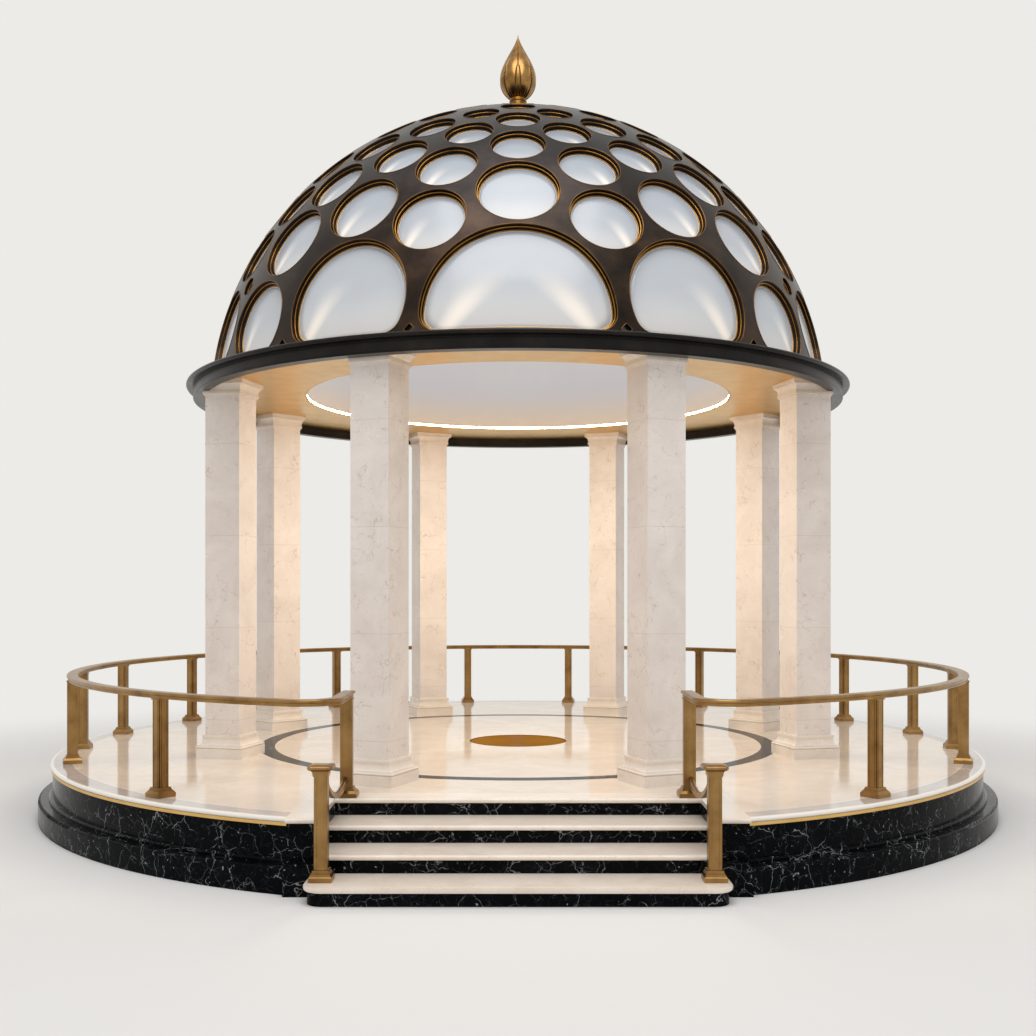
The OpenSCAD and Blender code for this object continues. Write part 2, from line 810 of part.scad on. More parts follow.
// Half outline of a post's foot: block, sloping moulding, fillet and collar
module foot_outline(half, h) {
    collar = post_w / 2 + 12;
    polygon([
        [0, 0], [half, 0], [half, 0.42 * h], [half - 5, 0.48 * h], [collar + 12, 0.68 * h],
        [collar + 6, 0.7 * h], [collar + 6, 0.8 * h], [collar, 0.83 * h], [collar, h], [0, h]
    ]);
}

// A square post on a moulded foot, with a small cap plate at its top
module rail_post(foot_w, foot_h, top) {
    plate = 12;
    square_moulding(foot_w) foot_outline(foot_w / 2, foot_h);
    translate([0, 0, foot_h - 1]) linear_extrude(top - foot_h) post_outline();
    translate([-post_w / 2 - 5, -post_w / 2 - 5, top - plate]) cube([post_w + 10, post_w + 10, plate]);
}

// The posts of one side, with the upper newel
module rail_posts(side) {
    color(brass_satin)
    translate([0, 0, deck_z]) {
        for (a = post_angles)
            rotate([0, 0, side * a]) translate([0, -rail_r, 0])
                rail_post(post_foot_w, post_foot_h, rail_h - rail_t);
        translate([side * newel_x, -newel_y, 0])
            rail_post(post_foot_w + 12, post_foot_h, rail_h - rail_t);
    }
}

low_newel_y = step_front[3] - 260;
newel_cap_w = 204;
newel_cap_h = 84;

// Half outline of a low newel's cap: fillet, cavetto and a thick rounded edge under a slightly crowned top
module newel_cap_outline() {
    half = newel_cap_w / 2;
    neck = post_w / 2 + 8;
    edge_r = 17;
    flare = half - neck - 12;
    cavetto_h = newel_cap_h - 2 * edge_r - 18;
    translate([half - edge_r, newel_cap_h - edge_r - 6]) circle(edge_r);
    polygon(concat(
        [[0, 0], [neck, 0], [neck, 12]],
        [for (t = [0:15:90]) [neck + flare * (1 - cos(t)), 12 + cavetto_h * sin(t)]],
        [[half - edge_r, newel_cap_h - 2 * edge_r - 6], [half - edge_r, newel_cap_h - 6],
         [half * 0.5, newel_cap_h], [0, newel_cap_h]]
    ));
}

// Lower newels on the bottom step, each with a moulded cap whose corners are cut off
module newel_posts() {
    corner_cut = 30;
    color(brass_satin)
    for (side = [-1, 1])
        translate([side * low_newel_x, -low_newel_y, step_top[3]]) {
            rail_post(post_foot_w - 8, post_foot_h + 4, low_newel_h - newel_cap_h + 1);
            translate([0, 0, low_newel_h - newel_cap_h])
                intersection() {
                    square_moulding(newel_cap_w) newel_cap_outline();
                    rotate([0, 0, 45])
                        translate([0, 0, newel_cap_h / 2])
                            cube([(newel_cap_w - corner_cut) * sqrt(2), (newel_cap_w - corner_cut) * sqrt(2),
                                  2 * newel_cap_h], center = true);
                }
        }
}

// Section of the stair rails: a rounded top on a flat-sided bar
module stair_rail_section() {
    w = 46;
    square([32, w], center = true);
    translate([-16, 0]) circle(w / 2 - 3, $fn = 48);
}

// Short sagging rail from each lower newel back to the upper one
module stair_rails() {
    from_y = low_newel_y - post_w / 2;
    to_y = newel_y + post_w / 2;
    from_z = step_top[3] + low_newel_h - newel_cap_h - 34;
    to_z = deck_z + 150;
    run = from_y - to_y;
    drop = from_z - to_z;
    chord = sqrt(run * run + drop * drop);
    sag_r = chord * 1.1;
    mid_y = (from_y + to_y) / 2;
    mid_z = (from_z + to_z) / 2;
    reach = sqrt(sag_r * sag_r - chord * chord / 4);
    lean = atan2(drop, run);
    half_angle = asin(chord / 2 / sag_r);
    color(brass_satin)
    for (side = [-1, 1])
        translate([side * (newel_x + low_newel_x) / 2, -mid_y + reach * sin(lean), mid_z + reach * cos(lean)])
            rotate([0, 0, 90]) rotate([90, 0, 0])
                rotate([0, 0, 270 - lean - half_angle])
                    rotate_extrude(angle = 2 * half_angle) translate([sag_r, 0]) stair_rail_section();
}

podium_plinth();
podium_drum();
edge_strip();
deck_border();
deck_paving();
floor_ring();
floor_ring_fillets();
inner_floor();
floor_medallion();
stair_landing();
tread_1();
tread_2();
tread_3();
stair_risers();
stair_core();
stair_cheeks();
cheek_copings();
column_shaft(-1, 0);  // column_left_1
column_shaft(-1, 1);  // column_left_2
column_shaft(-1, 2);  // column_left_3
column_shaft(-1, 3);  // column_left_4
column_shaft(1, 0);  // column_right_1
column_shaft(1, 1);  // column_right_2
column_shaft(1, 2);  // column_right_3
column_shaft(1, 3);  // column_right_4
column_bases();
column_capitals();
ring_beam();
soffit_ring();
light_strip();
lattice(0);  // dome_lattice_front
lattice(90);  // dome_lattice_right
lattice(180);  // dome_lattice_back
lattice(270);  // dome_lattice_left
glass(0);  // dome_glass_front
glass(180);  // dome_glass_back
finial_foot();
finial();
handrail(-1);  // handrail_left
handrail(1);  // handrail_right
rail_posts(-1);  // rail_posts_left
rail_posts(1);  // rail_posts_right
newel_posts();
stair_rails();
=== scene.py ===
# %% [markdown]
# # A garden pavilion of marble, bronze and glass
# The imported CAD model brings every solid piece: podium, stairs, columns, beam, dome and rails. This
# script gives each of them a real finish, adds the fine trim that is too small or too numerous for the
# CAD, and then sets up the light and the camera. Everything is in metres, with the origin on the dome's
# axis at ground level and -Y towards the stairs.

# %% Load the frame
import math

import bmesh
import bpy
import numpy as np
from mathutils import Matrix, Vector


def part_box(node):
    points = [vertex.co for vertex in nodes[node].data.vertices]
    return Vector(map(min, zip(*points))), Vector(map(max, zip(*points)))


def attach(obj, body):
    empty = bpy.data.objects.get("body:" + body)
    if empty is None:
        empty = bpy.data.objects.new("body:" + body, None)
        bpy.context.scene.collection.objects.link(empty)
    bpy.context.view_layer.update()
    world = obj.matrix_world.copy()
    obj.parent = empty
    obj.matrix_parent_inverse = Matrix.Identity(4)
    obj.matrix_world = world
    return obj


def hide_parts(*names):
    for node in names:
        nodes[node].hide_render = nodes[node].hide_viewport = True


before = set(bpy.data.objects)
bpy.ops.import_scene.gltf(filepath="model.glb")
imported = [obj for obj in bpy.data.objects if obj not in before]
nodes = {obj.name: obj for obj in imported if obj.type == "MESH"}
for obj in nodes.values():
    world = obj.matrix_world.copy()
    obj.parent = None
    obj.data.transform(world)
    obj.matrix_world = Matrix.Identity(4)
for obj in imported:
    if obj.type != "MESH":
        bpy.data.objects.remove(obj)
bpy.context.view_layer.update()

# %% [markdown]
# ## Measures taken from the CAD
# The trim must sit exactly on the CAD surfaces, so its sizes are read from the nodes' boxes instead of
# being typed in again. The dome's sphere has its centre near the beam. The glass shell has no openings,
# so its half width at the springing line and its top give the centre, and the bronze shell's top then
# gives its own radius.

# %% Measure the dome and the deck
def top_of(node):
    """Height of the highest point of a CAD node."""
    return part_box(node)[1].z


glass_low, glass_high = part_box("dome_glass_front")
spring_z = glass_low.z
half_width = -glass_low.y
crown_z = top_of("dome_lattice_front")
# On a sphere, half_width squared plus (spring_z - centre) squared equals (top - centre) squared
centre_z = (glass_high.z ** 2 - spring_z ** 2 - half_width ** 2) / (2 * (glass_high.z - spring_z))
glass_r = glass_high.z - centre_z
shell_r = crown_z - centre_z
deck_z = top_of("inner_floor")
soffit_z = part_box("soffit_ring")[0].z
print(f"dome centre {centre_z:.3f}, shell {shell_r:.3f}, glass {glass_r:.3f}, deck {deck_z:.3f}")

# %% [markdown]
# ## Colours and nodes
# Colours are written as sRGB hex values, the way a paint chart gives them, and one function turns them
# into the linear values that the shader needs. One more function adds a shader node with its settings and
# links. Everything below it is a pattern or a finish, put together from such nodes.

# %% Colour and node helpers
def linear(hex_colour):
    """sRGB hex to linear RGBA: a channel c becomes ((c + 0.055) / 1.055) ** 2.4, or c / 12.92 when dark."""
    channels = [int(hex_colour[i:i + 2], 16) / 255 for i in (1, 3, 5)]
    curve = [c / 12.92 if c <= 0.04045 else ((c + 0.055) / 1.055) ** 2.4 for c in channels]
    return (*curve, 1.0)


def add(tree, kind, inputs=None, stops=(), **settings):
    """Adds one shader node with its settings. An input that is a socket is linked, and so is a node, by its
    first live output; a hex colour turns linear; anything else is set. Stops are a ramp's positions and
    colours."""
    node = tree.nodes.new("ShaderNode" + kind)
    for name, value in settings.items():
        setattr(node, name, value)
    for name, value in (inputs or {}).items():
        if isinstance(value, bpy.types.Node):
            value = next(output for output in value.outputs if output.enabled)
        if isinstance(value, bpy.types.NodeSocket):
            tree.links.new(value, node.inputs[name])
        else:
            node.inputs[name].default_value = linear(value) if isinstance(value, str) else value
    for k, (position, colour) in enumerate(stops):
        element = node.color_ramp.elements[k] if k < 2 else node.color_ramp.elements.new(position)
        element.position = position
        element.color = linear(colour)
    return node


def new_material(name):
    """An empty node material; returns it, its tree, its output and the Object coordinates."""
    material = bpy.data.materials.new(name)
    material.use_nodes = True
    tree = material.node_tree
    tree.nodes.clear()
    return material, tree, add(tree, "OutputMaterial"), add(tree, "TexCoord").outputs["Object"]


def finish_surface(tree, output, inputs, bump=None, height_m=0.0):
    """Principled surface, with a bump of a real height in metres where a pattern for it is given."""
    if bump is not None:
        inputs["Normal"] = add(tree, "Bump", {"Height": bump, "Strength": 1.0, "Distance": height_m})
    tree.links.new(add(tree, "BsdfPrincipled", inputs).outputs[0], output.inputs["Surface"])


def lay_over(tree, colour, *layers):
    """Lays colours over a ground one after the other, each as strong as its pattern times its strength."""
    for pattern, strength, top in layers:
        share = add(tree, "Math", {0: pattern, 1: strength}, operation="MULTIPLY")
        colour = add(tree, "Mix", {0: share, 6: colour, 7: top}, data_type="RGBA")
    return colour


print("helpers ready; mid grey is", [round(c, 3) for c in linear("#808080")[:3]])

# %% [markdown]
# ## Veins in marble
# A vein is a crack that filled with pale mineral. Cracks meet like the walls between cells, so the
# distance to the edge of Voronoi cells gives a vein network. Noise bends the cells first, and a second,
# wide noise cuts the network into the short, broken veins that real stone has. Working in Object
# coordinates makes the veins run through the block, from one face to the next.

# %% Vein pattern
def vein_network(tree, coords, cell, width, bend, cover, offset=0.0):
    """1 on a vein, 0 off it: edge distance of bent Voronoi cells, kept where a wide noise passes cover. Cell
    and width are in metres, width to each side of a vein's middle; a noise narrows it to a fifth."""
    shift = add(tree, "VectorMath", {0: coords, 1: (offset, offset * 0.7, offset * 1.3)}, operation="ADD")
    wander = add(tree, "TexNoise", {"Vector": shift, "Scale": 1.3 / cell, "Detail": 4.0, "Roughness": 0.6})
    centred = add(tree, "VectorMath", {0: wander.outputs["Color"], 1: (0.5, 0.5, 0.5)}, operation="SUBTRACT")
    push = add(tree, "VectorMath", {0: centred, "Scale": bend}, operation="SCALE")
    bent = add(tree, "VectorMath", {0: shift, 1: push}, operation="ADD")
    cells = add(tree, "TexVoronoi", {"Vector": bent, "Scale": 1 / cell}, feature="DISTANCE_TO_EDGE")
    swell = add(tree, "TexNoise", {"Vector": shift, "Scale": 3.1 / cell, "Detail": 2.0})
    reach = add(tree, "MapRange", {"Value": swell, "From Min": 0.35, "From Max": 0.7,
                                   "To Min": 0.2 * width / cell, "To Max": width / cell})
    line = add(tree, "MapRange", {"Value": cells.outputs["Distance"], "From Min": 0.0, "From Max": reach,
                                  "To Min": 1.0, "To Max": 0.0})
    patches = add(tree, "TexNoise", {"Vector": shift, "Scale": 0.9 / cell, "Detail": 3.0, "Roughness": 0.65})
    keep = add(tree, "MapRange", {"Value": patches, "From Min": cover, "From Max": cover + 0.08})
    return add(tree, "Math", {0: line, 1: keep}, operation="MULTIPLY")


print("vein pattern ready")

# %% [markdown]
# ## Polished black marble
# The podium is faced with a black limestone that takes a mirror polish. It gives the eye a nearly black
# ground with a little blue-grey cloud in it, thin broken calcite veins in cells about 300 and 190 mm
# across, finer hairs between them and a few pale flecks. A calcite vein is 2 to 4 mm wide; the veins are
# drawn up to 12 mm wide, so that they show from 15 m away.

# %% Black marble material
def black_marble(name="polished_black_marble"):
    """Near-black ground, three sizes of vein and flecks, each laid over the last."""
    material, tree, output, coords = new_material(name)
    bold = vein_network(tree, coords, cell=0.30, width=0.006, bend=0.22, cover=0.47)
    fine = vein_network(tree, coords, cell=0.19, width=0.004, bend=0.14, cover=0.45, offset=7.3)
    hair = vein_network(tree, coords, cell=0.09, width=0.002, bend=0.06, cover=0.45, offset=3.1)
    fleck_noise = add(tree, "TexNoise", {"Vector": coords, "Scale": 26.0, "Detail": 2.0})
    fleck = add(tree, "MapRange", {"Value": fleck_noise, "From Min": 0.70, "From Max": 0.76})
    cloud = add(tree, "TexNoise", {"Vector": coords, "Scale": 3.0, "Detail": 5.0, "Roughness": 0.6})
    ground = add(tree, "ValToRGB", {"Fac": cloud}, [(0.3, "#050608"), (0.55, "#090b0e"), (0.8, "#12151a")])
    colour = lay_over(tree, ground, (hair, 0.16, "#8f9499"), (fine, 0.30, "#b9bec2"),
                      (bold, 0.40, "#dcdfe0"), (fleck, 0.5, "#c4c8ca"))
    wear = add(tree, "MapRange", {"Value": cloud, "To Min": 0.10, "To Max": 0.2})
    # Less gloss than a real polish has, or the pale surroundings would turn the black grey
    polish = {"Base Color": colour, "Roughness": wear, "IOR": 1.35, "Specular IOR Level": 0.06}
    finish_surface(tree, output, polish, cloud, 0.0002)
    return material


black = black_marble()
print("made", black.name)

# %% [markdown]
# ## Polished cream marble
# Floor, treads and columns are a cream limestone with soft rust-beige clouds and thin veins a shade
# darker than the ground. On the floor the slabs are laid as a diagonal grid with tight joints, and each
# slab has a tone of its own because it comes from another part of the block. On the columns the joints
# are level, between courses about a metre high, and the stone is honed, not polished. Veins of a few
# millimetres are drawn up to 18 mm wide, and joints of 2 mm are drawn 5 and 6 mm wide, so that they show.

# %% Joints between slabs
FLOOR_JOINT, COLUMN_JOINT = 0.005, 0.006


def joint_lines(tree, value, spacing, width):
    """1 within half a width of each multiple of spacing: |fract(v / s + 0.5) - 0.5| * s against w / 2."""
    turns = add(tree, "Math", {0: value, 1: 1 / spacing, 2: 0.5}, operation="MULTIPLY_ADD")
    place = add(tree, "Math", {0: turns}, operation="FRACT")
    away = add(tree, "Math", {0: add(tree, "Math", {0: place, 1: 0.5}, operation="SUBTRACT")},
               operation="ABSOLUTE")
    distance = add(tree, "Math", {0: away, 1: spacing}, operation="MULTIPLY")
    return add(tree, "Math", {0: distance, 1: width / 2}, operation="LESS_THAN")


def slab_tone(tree, first, second, spacing):
    """A random value for each cell of a grid: white noise on the rounded cell numbers."""
    cells = [add(tree, "Math", {0: v, 1: spacing}, operation="DIVIDE") for v in (first, second)]
    numbers = [add(tree, "Math", {0: cell}, operation="ROUND") for cell in cells]
    cell = add(tree, "CombineXYZ", {"X": numbers[0], "Y": numbers[1]})
    return add(tree, "TexWhiteNoise", {"Vector": cell}).outputs["Value"]


def diagonal_joints(tree, x, y, _, spacing):
    """Joints and slab tones of a grid turned by 45 degrees: (x + y) and (x - y) over the root of two."""
    turned = [add(tree, "Math", {0: add(tree, "Math", {0: x, 1: y}, operation=way), 1: 0.7071},
                  operation="MULTIPLY") for way in ("ADD", "SUBTRACT")]
    moved = [add(tree, "Math", {0: v, 1: spacing / 2}, operation="ADD") for v in turned]
    lines = [joint_lines(tree, v, spacing, FLOOR_JOINT) for v in moved]
    both = add(tree, "Math", {0: lines[0], 1: lines[1]}, operation="MAXIMUM")
    return both, slab_tone(tree, *turned, spacing)


def course_joints(tree, x, y, z, spacing):
    """Level joints of a column's courses, and a tone for each block from its height and its place."""
    middle = add(tree, "Math", {0: z, 1: spacing / 2}, operation="SUBTRACT")
    side = add(tree, "Math", {0: x, 1: 0.3, 2: y}, operation="MULTIPLY_ADD")
    side = add(tree, "Math", {0: side, 1: 0.2}, operation="MULTIPLY")
    return joint_lines(tree, z, spacing, COLUMN_JOINT), slab_tone(tree, middle, side, spacing)


# %% Cream marble materials
def cream_marble(name, laid, spacing, roughness, tones, vein=0.22, uneven=0.28):
    """Cream marble; laid is diagonal_joints, course_joints or None, and spacing the slabs' size in metres."""
    material, tree, output, coords = new_material(name)
    cloud = add(tree, "TexNoise", {"Vector": coords, "Scale": 2.2, "Detail": 7.0, "Roughness": 0.62,
                                   "Distortion": 0.6})
    grain = add(tree, "TexNoise", {"Vector": coords, "Scale": 38.0, "Detail": 3.0})
    speck = add(tree, "MapRange", {"Value": grain, "From Min": 0.3, "From Max": 0.75})
    veins = vein_network(tree, coords, cell=0.21, width=0.009, bend=0.26, cover=0.5, offset=2.0)
    hair = vein_network(tree, coords, cell=0.10, width=0.004, bend=0.12, cover=0.52, offset=5.0)
    ground = add(tree, "ValToRGB", {"Fac": cloud}, list(zip((0.3, 0.5, 0.72), tones)))
    colour = lay_over(tree, ground, (veins, vein, "#b08c72"), (hair, vein, "#bd9c82"),
                      (speck, 0.10, "#cdb8a4"))
    if laid:
        joints, tone = laid(tree, *add(tree, "SeparateXYZ", {"Vector": coords}).outputs, spacing)
        colour = lay_over(tree, colour, (tone, uneven, "#dcc6b0"), (joints, 0.35, "#b8a28e"))
    polish = {"Base Color": colour, "Roughness": roughness, "IOR": 1.52}
    finish_surface(tree, output, polish, cloud, 0.0004)
    return material


floor_cream = cream_marble("polished_cream_marble_floor", diagonal_joints, 0.60, 0.09,
                           ("#e2d3c3", "#ecdfd1", "#f3e9dd"))
shaft_cream = cream_marble("honed_cream_marble_shafts", course_joints, 1.02, 0.38,
                           ("#dfd6cf", "#e9e0da", "#f1eae4"), vein=0.5, uneven=0.1)
edge_cream = cream_marble("polished_cream_marble_edges", None, 1.0, 0.16, ("#e6d8ca", "#efe4d8", "#f5ede3"))
print("made", floor_cream.name, shaft_cream.name, edge_cream.name)

# %% [markdown]
# ## The grey border
# The outermost slabs are a greyer marble with a pale strip along each edge. The inner strip is a narrow
# inlay in the same ring, and the outer one is a painted highlight along the slab's edge; both are told
# apart by their distance from the axis, not modelled.

# %% Border marble material
OUTER_STRIP, INNER_STRIP = 0.034, 0.012


def distance_from_axis(tree, coords):
    """The length of (x, y, 0)."""
    level = add(tree, "VectorMath", {0: coords, 1: (1, 1, 0)}, operation="MULTIPLY")
    return add(tree, "VectorMath", {0: level}, operation="LENGTH").outputs["Value"]


def border_marble(name="polished_grey_marble_border"):
    """Grey-lilac marble with faint veins, a pale strip along the band's inner edge and a painted highlight
    along its outer edge.
    """
    material, tree, output, coords = new_material(name)
    radius = distance_from_axis(tree, coords)
    cloud = add(tree, "TexNoise", {"Vector": coords, "Scale": 3.0, "Detail": 6.0, "Roughness": 0.6})
    veins = vein_network(tree, coords, cell=0.18, width=0.006, bend=0.2, cover=0.5, offset=4.0)
    ground = add(tree, "ValToRGB", {"Fac": cloud}, [(0.3, "#b9b1ad"), (0.55, "#c6bfbb"), (0.8, "#d3cbc5")])
    outer_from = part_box("deck_border")[1].x - OUTER_STRIP
    inner_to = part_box("deck_paving")[1].x + INNER_STRIP
    # The outer strip is a painted highlight along the slab's edge; the inner one is a pale strip
    painted_edge_highlight = add(tree, "Math", {0: radius, 1: outer_from}, operation="GREATER_THAN")
    inner = add(tree, "Math", {0: radius, 1: inner_to}, operation="LESS_THAN")
    pale_strip_and_painted_highlight = add(tree, "Math", {0: painted_edge_highlight, 1: inner}, operation="MAXIMUM")
    colour = lay_over(tree, ground, (veins, 0.25, "#988f8b"), (pale_strip_and_painted_highlight, 1.0, "#f4eee6"))
    finish_surface(tree, output, {"Base Color": colour, "Roughness": 0.08, "IOR": 1.55}, cloud, 0.0003)
    return material


border_grey = border_marble()
print("made", border_grey.name)

# %% [markdown]
# ## Bronze and brass
# The dome and its beam are bronze with a dark brown patina, waxed to a satin shine. A blend by height paints
# the light on it: brown low down where warm light reaches it, almost blue-black on the crown as a painted
# reflection of the sky. The rails are satin brass, drawn through a die and lightly brushed, so fine level
# scratches run along them. The finial's foot and the inner beads of the openings are gilded, yellower and
# smoother, and the outer beads are bronze in a paler tan, a painted highlight along their raised edge.

# %% Metal materials
def dark_bronze(name, tones):
    """Patina in three tones, turning to a painted blue-black sky reflection between 1.3 m above the dome's
    centre and 0.7 m below its crown.
    """
    material, tree, output, coords = new_material(name)
    patina = add(tree, "TexNoise", {"Vector": coords, "Scale": 2.6, "Detail": 6.0, "Roughness": 0.6})
    grain = add(tree, "TexNoise", {"Vector": coords, "Scale": 60.0, "Detail": 2.0})
    low = add(tree, "ValToRGB", {"Fac": patina}, list(zip((0.25, 0.5, 0.8), tones)))
    # The blue-black ramp is a painted reflection of the sky, laid over the patina by height
    high = add(tree, "ValToRGB", {"Fac": patina}, [(0.3, "#101215"), (0.55, "#1b1e24"), (0.8, "#2c3139")])
    height = add(tree, "SeparateXYZ", {"Vector": coords}).outputs["Z"]
    painted_sky_reflection = add(tree, "MapRange", {"Value": height, "From Min": centre_z + 1.3, "From Max": crown_z - 0.7})
    rough = add(tree, "MapRange", {"Value": patina, "To Min": 0.26, "To Max": 0.42})
    colour = lay_over(tree, low, (painted_sky_reflection, 0.9, high))
    finish_surface(tree, output, {"Base Color": colour, "Roughness": rough, "Metallic": 0.85}, grain, 0.0003)
    return material


def brushed_metal(name, tones, roughness, along):
    """Metal with scratches: noise squeezed by along, in streaks 6 to 17 mm wide with finer ones down to 1 mm
    between them. Real brushing is 0.1 mm wide, too fine to show."""
    material, tree, output, coords = new_material(name)
    scratch_space = add(tree, "Mapping", {"Vector": coords, "Scale": along})
    scratches = add(tree, "TexNoise", {"Vector": scratch_space, "Scale": 20.0, "Detail": 3.0})
    tarnish = add(tree, "TexNoise", {"Vector": coords, "Scale": 4.0, "Detail": 5.0, "Roughness": 0.6})
    ground = add(tree, "ValToRGB", {"Fac": tarnish}, list(zip((0.3, 0.5, 0.75), tones)))
    colour = lay_over(tree, ground, (scratches, 0.35, tones[0]))
    rough = add(tree, "MapRange", {"Value": scratches, "To Min": roughness - 0.06,
                                   "To Max": roughness + 0.08})
    look = {"Base Color": colour, "Roughness": rough, "Metallic": 1.0}
    finish_surface(tree, output, look, scratches, 0.0002)
    return material


# How much each axis squeezes the scratches: level streaks, and a fine and a soft grain on level faces
LEVEL_STREAKS, FINE_GRAIN, SOFT_GRAIN = (1.0, 1.0, 8.0), (6.0, 6.0, 1.0), (3.0, 3.0, 1.0)
bronze = dark_bronze("waxed_dark_bronze", ("#1b1511", "#31261f", "#4e3c2e"))
beam_bronze = dark_bronze("waxed_black_bronze_beam", ("#191817", "#242220", "#332e2b"))
rail_brass = brushed_metal("satin_brass_rails", ("#80613a", "#a07c4c", "#b6925e"), 0.30, LEVEL_STREAKS)
soffit_brass = brushed_metal("brushed_brass_soffit", ("#d8ad66", "#e1b972", "#eac581"), 0.34, FINE_GRAIN)
gilt = brushed_metal("gilded_bronze", ("#6b4a24", "#93692f", "#b38442"), 0.24, SOFT_GRAIN)
# The outer beads' paler tan is a painted highlight along their raised edge
edge_bronze = brushed_metal("bronze_edges_painted_highlight", ("#4d3823", "#6e5232", "#8b6a43"), 0.30, SOFT_GRAIN)
print("made", bronze.name, beam_bronze.name, rail_brass.name, soffit_brass.name, gilt.name, edge_bronze.name)

# %% [markdown]
# ## The brass disc in the floor
# It was turned on a lathe, so its scratches are circles and its highlight spreads into two fans that meet
# in the middle. Noise on the distance from the axis draws the circles; a tangent that runs round the axis
# with strong anisotropy spreads the highlight, and the same two fans are painted paler into its colour as a
# painted highlight. A dark line marks its rim.

# %% Turned brass material
DISC_RIM = 0.014


def turned_brass(name="turned_brass_disc"):
    """Brass in circles 2.5 mm apart, because a lathe's own are ten times finer and wouldn't show, with a
    painted highlight that makes it a little paler in the two fans where cos(2 angle) is high."""
    material, tree, output, coords = new_material(name)
    x, y, _ = add(tree, "SeparateXYZ", {"Vector": coords}).outputs
    radius = distance_from_axis(tree, coords)
    circles = add(tree, "Math", {0: radius, 1: 400.0}, operation="MULTIPLY")
    turns = add(tree, "TexNoise", {"W": circles, "Detail": 3.0, "Scale": 1.0}, noise_dimensions="1D")
    angle = add(tree, "Math", {0: y, 1: x}, operation="ARCTAN2")
    fan = add(tree, "Math", {0: add(tree, "Math", {0: angle, 1: 2.0}, operation="MULTIPLY")},
              operation="COSINE")
    # Painted highlight: a paler colour in two fans round the axis
    painted_fan_highlight = add(tree, "MapRange", {"Value": fan, "From Min": -1.0, "From Max": 1.0})
    rim_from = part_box("floor_medallion")[1].x - DISC_RIM
    rim = add(tree, "Math", {0: radius, 1: rim_from}, operation="GREATER_THAN")
    ground = add(tree, "ValToRGB", {"Fac": turns}, [(0.3, "#a87a38"), (0.55, "#cb994d"), (0.8, "#e2b568")])
    colour = lay_over(tree, ground, (painted_fan_highlight, 0.35, "#d9b274"), (rim, 1.0, "#3c2c1b"))
    ring = add(tree, "Tangent", direction_type="RADIAL", axis="Z")
    shine = {"Base Color": colour, "Roughness": 0.33, "Metallic": 1.0, "Anisotropic": 0.8,
             "Tangent": ring, "Specular Tint": "#c79a5a"}
    finish_surface(tree, output, shine, turns, 0.0001)
    return material


disc_brass = turned_brass()
print("made", disc_brass.name)

# %% [markdown]
# ## Milky glass
# The dome's panes are laminated glass with a milky layer. They scatter most light: from outside they look
# blue-grey, and on the inside a painted glow stands for the daylight that comes through them evenly, with a
# painted warmer pool at their foot where the strip of light shines on them. In each opening the outer pane
# has a polished front, and painted soft warm flares low at its sides stand for the light from below.

# %% Glass of the dome
GLASS_SKIN = 0.010


def frosted_glass(name="milky_laminated_glass"):
    """The dome's own panes: outside a plain milky grey, inside a paler grey with a painted glow that stands
    for the daylight coming through the milk.
    A point is on the inside when it is nearer to the dome's centre than the outer face by GLASS_SKIN."""
    material, tree, output, coords = new_material(name)
    haze = add(tree, "TexNoise", {"Vector": coords, "Scale": 0.6, "Detail": 2.0})
    milk = add(tree, "ValToRGB", {"Fac": haze}, [(0.3, "#adb4be"), (0.55, "#b2b9c2"), (0.8, "#b8bec6")])
    from_centre = add(tree, "VectorMath", {0: coords, 1: (0, 0, centre_z)}, operation="SUBTRACT")
    reach = add(tree, "VectorMath", {0: from_centre}, operation="LENGTH").outputs["Value"]
    inside = add(tree, "Math", {0: reach, 1: glass_r - GLASS_SKIN}, operation="LESS_THAN")
    height = add(tree, "SeparateXYZ", {"Vector": coords}).outputs["Z"]
    above = add(tree, "MapRange", {"Value": height, "From Min": spring_z, "From Max": spring_z + 0.7},
                interpolation_type="SMOOTHSTEP")
    # Painted glow on the inside for the daylight through the milk, with a painted warm pool at the foot where
    # the strip of light shines
    painted_daylight_glow = lay_over(tree, "#ffd9ae", (above, 1.0, "#bdc6d6"))
    look = {"Base Color": lay_over(tree, milk, (inside, 1.0, "#c4c6c9")), "Roughness": 0.22, "IOR": 1.5,
            "Emission Color": lay_over(tree, "#000000", (inside, 1.0, painted_daylight_glow)), "Emission Strength": 0.36}
    finish_surface(tree, output, look, haze, 0.0005)
    return material


glass = frosted_glass()
print("made", glass.name)


# %% Glass with flares
def painted_flare_pattern(tree, across, rise):
    """A painted flare of light, exp(-((across + 0.42 rise - 0.30) / width)^2): a lean band that widens and
    fades as it rises, joined to a painted low glow along the opening's foot."""
    shifted = add(tree, "Math", {0: rise, 1: 0.42, 2: across}, operation="MULTIPLY_ADD")
    lean = add(tree, "Math", {0: shifted, 1: 0.30}, operation="SUBTRACT")
    width = add(tree, "MapRange", {"Value": rise, "From Min": -0.9, "From Max": 0.5,
                                   "To Min": 0.13, "To Max": 0.26})
    share = add(tree, "Math", {0: lean, 1: width}, operation="DIVIDE")
    square = add(tree, "Math", {0: share, 1: 2.0}, operation="POWER")
    band = add(tree, "Math", {0: add(tree, "Math", {0: square, 1: -1.0}, operation="MULTIPLY")},
               operation="EXPONENT")
    fade, foot = (add(tree, "MapRange", {"Value": rise, "From Min": low, "From Max": high,
                                         "To Min": strength, "To Max": 0.0},
                      interpolation_type="SMOOTHSTEP")
                  for low, high, strength in ((-0.85, 0.35, 1.0), (-1.0, 0.1, 0.35)))
    painted_flare = add(tree, "Math", {0: band, 1: fade}, operation="MULTIPLY")
    return add(tree, "Math", {0: painted_flare, 1: foot}, operation="MAXIMUM")


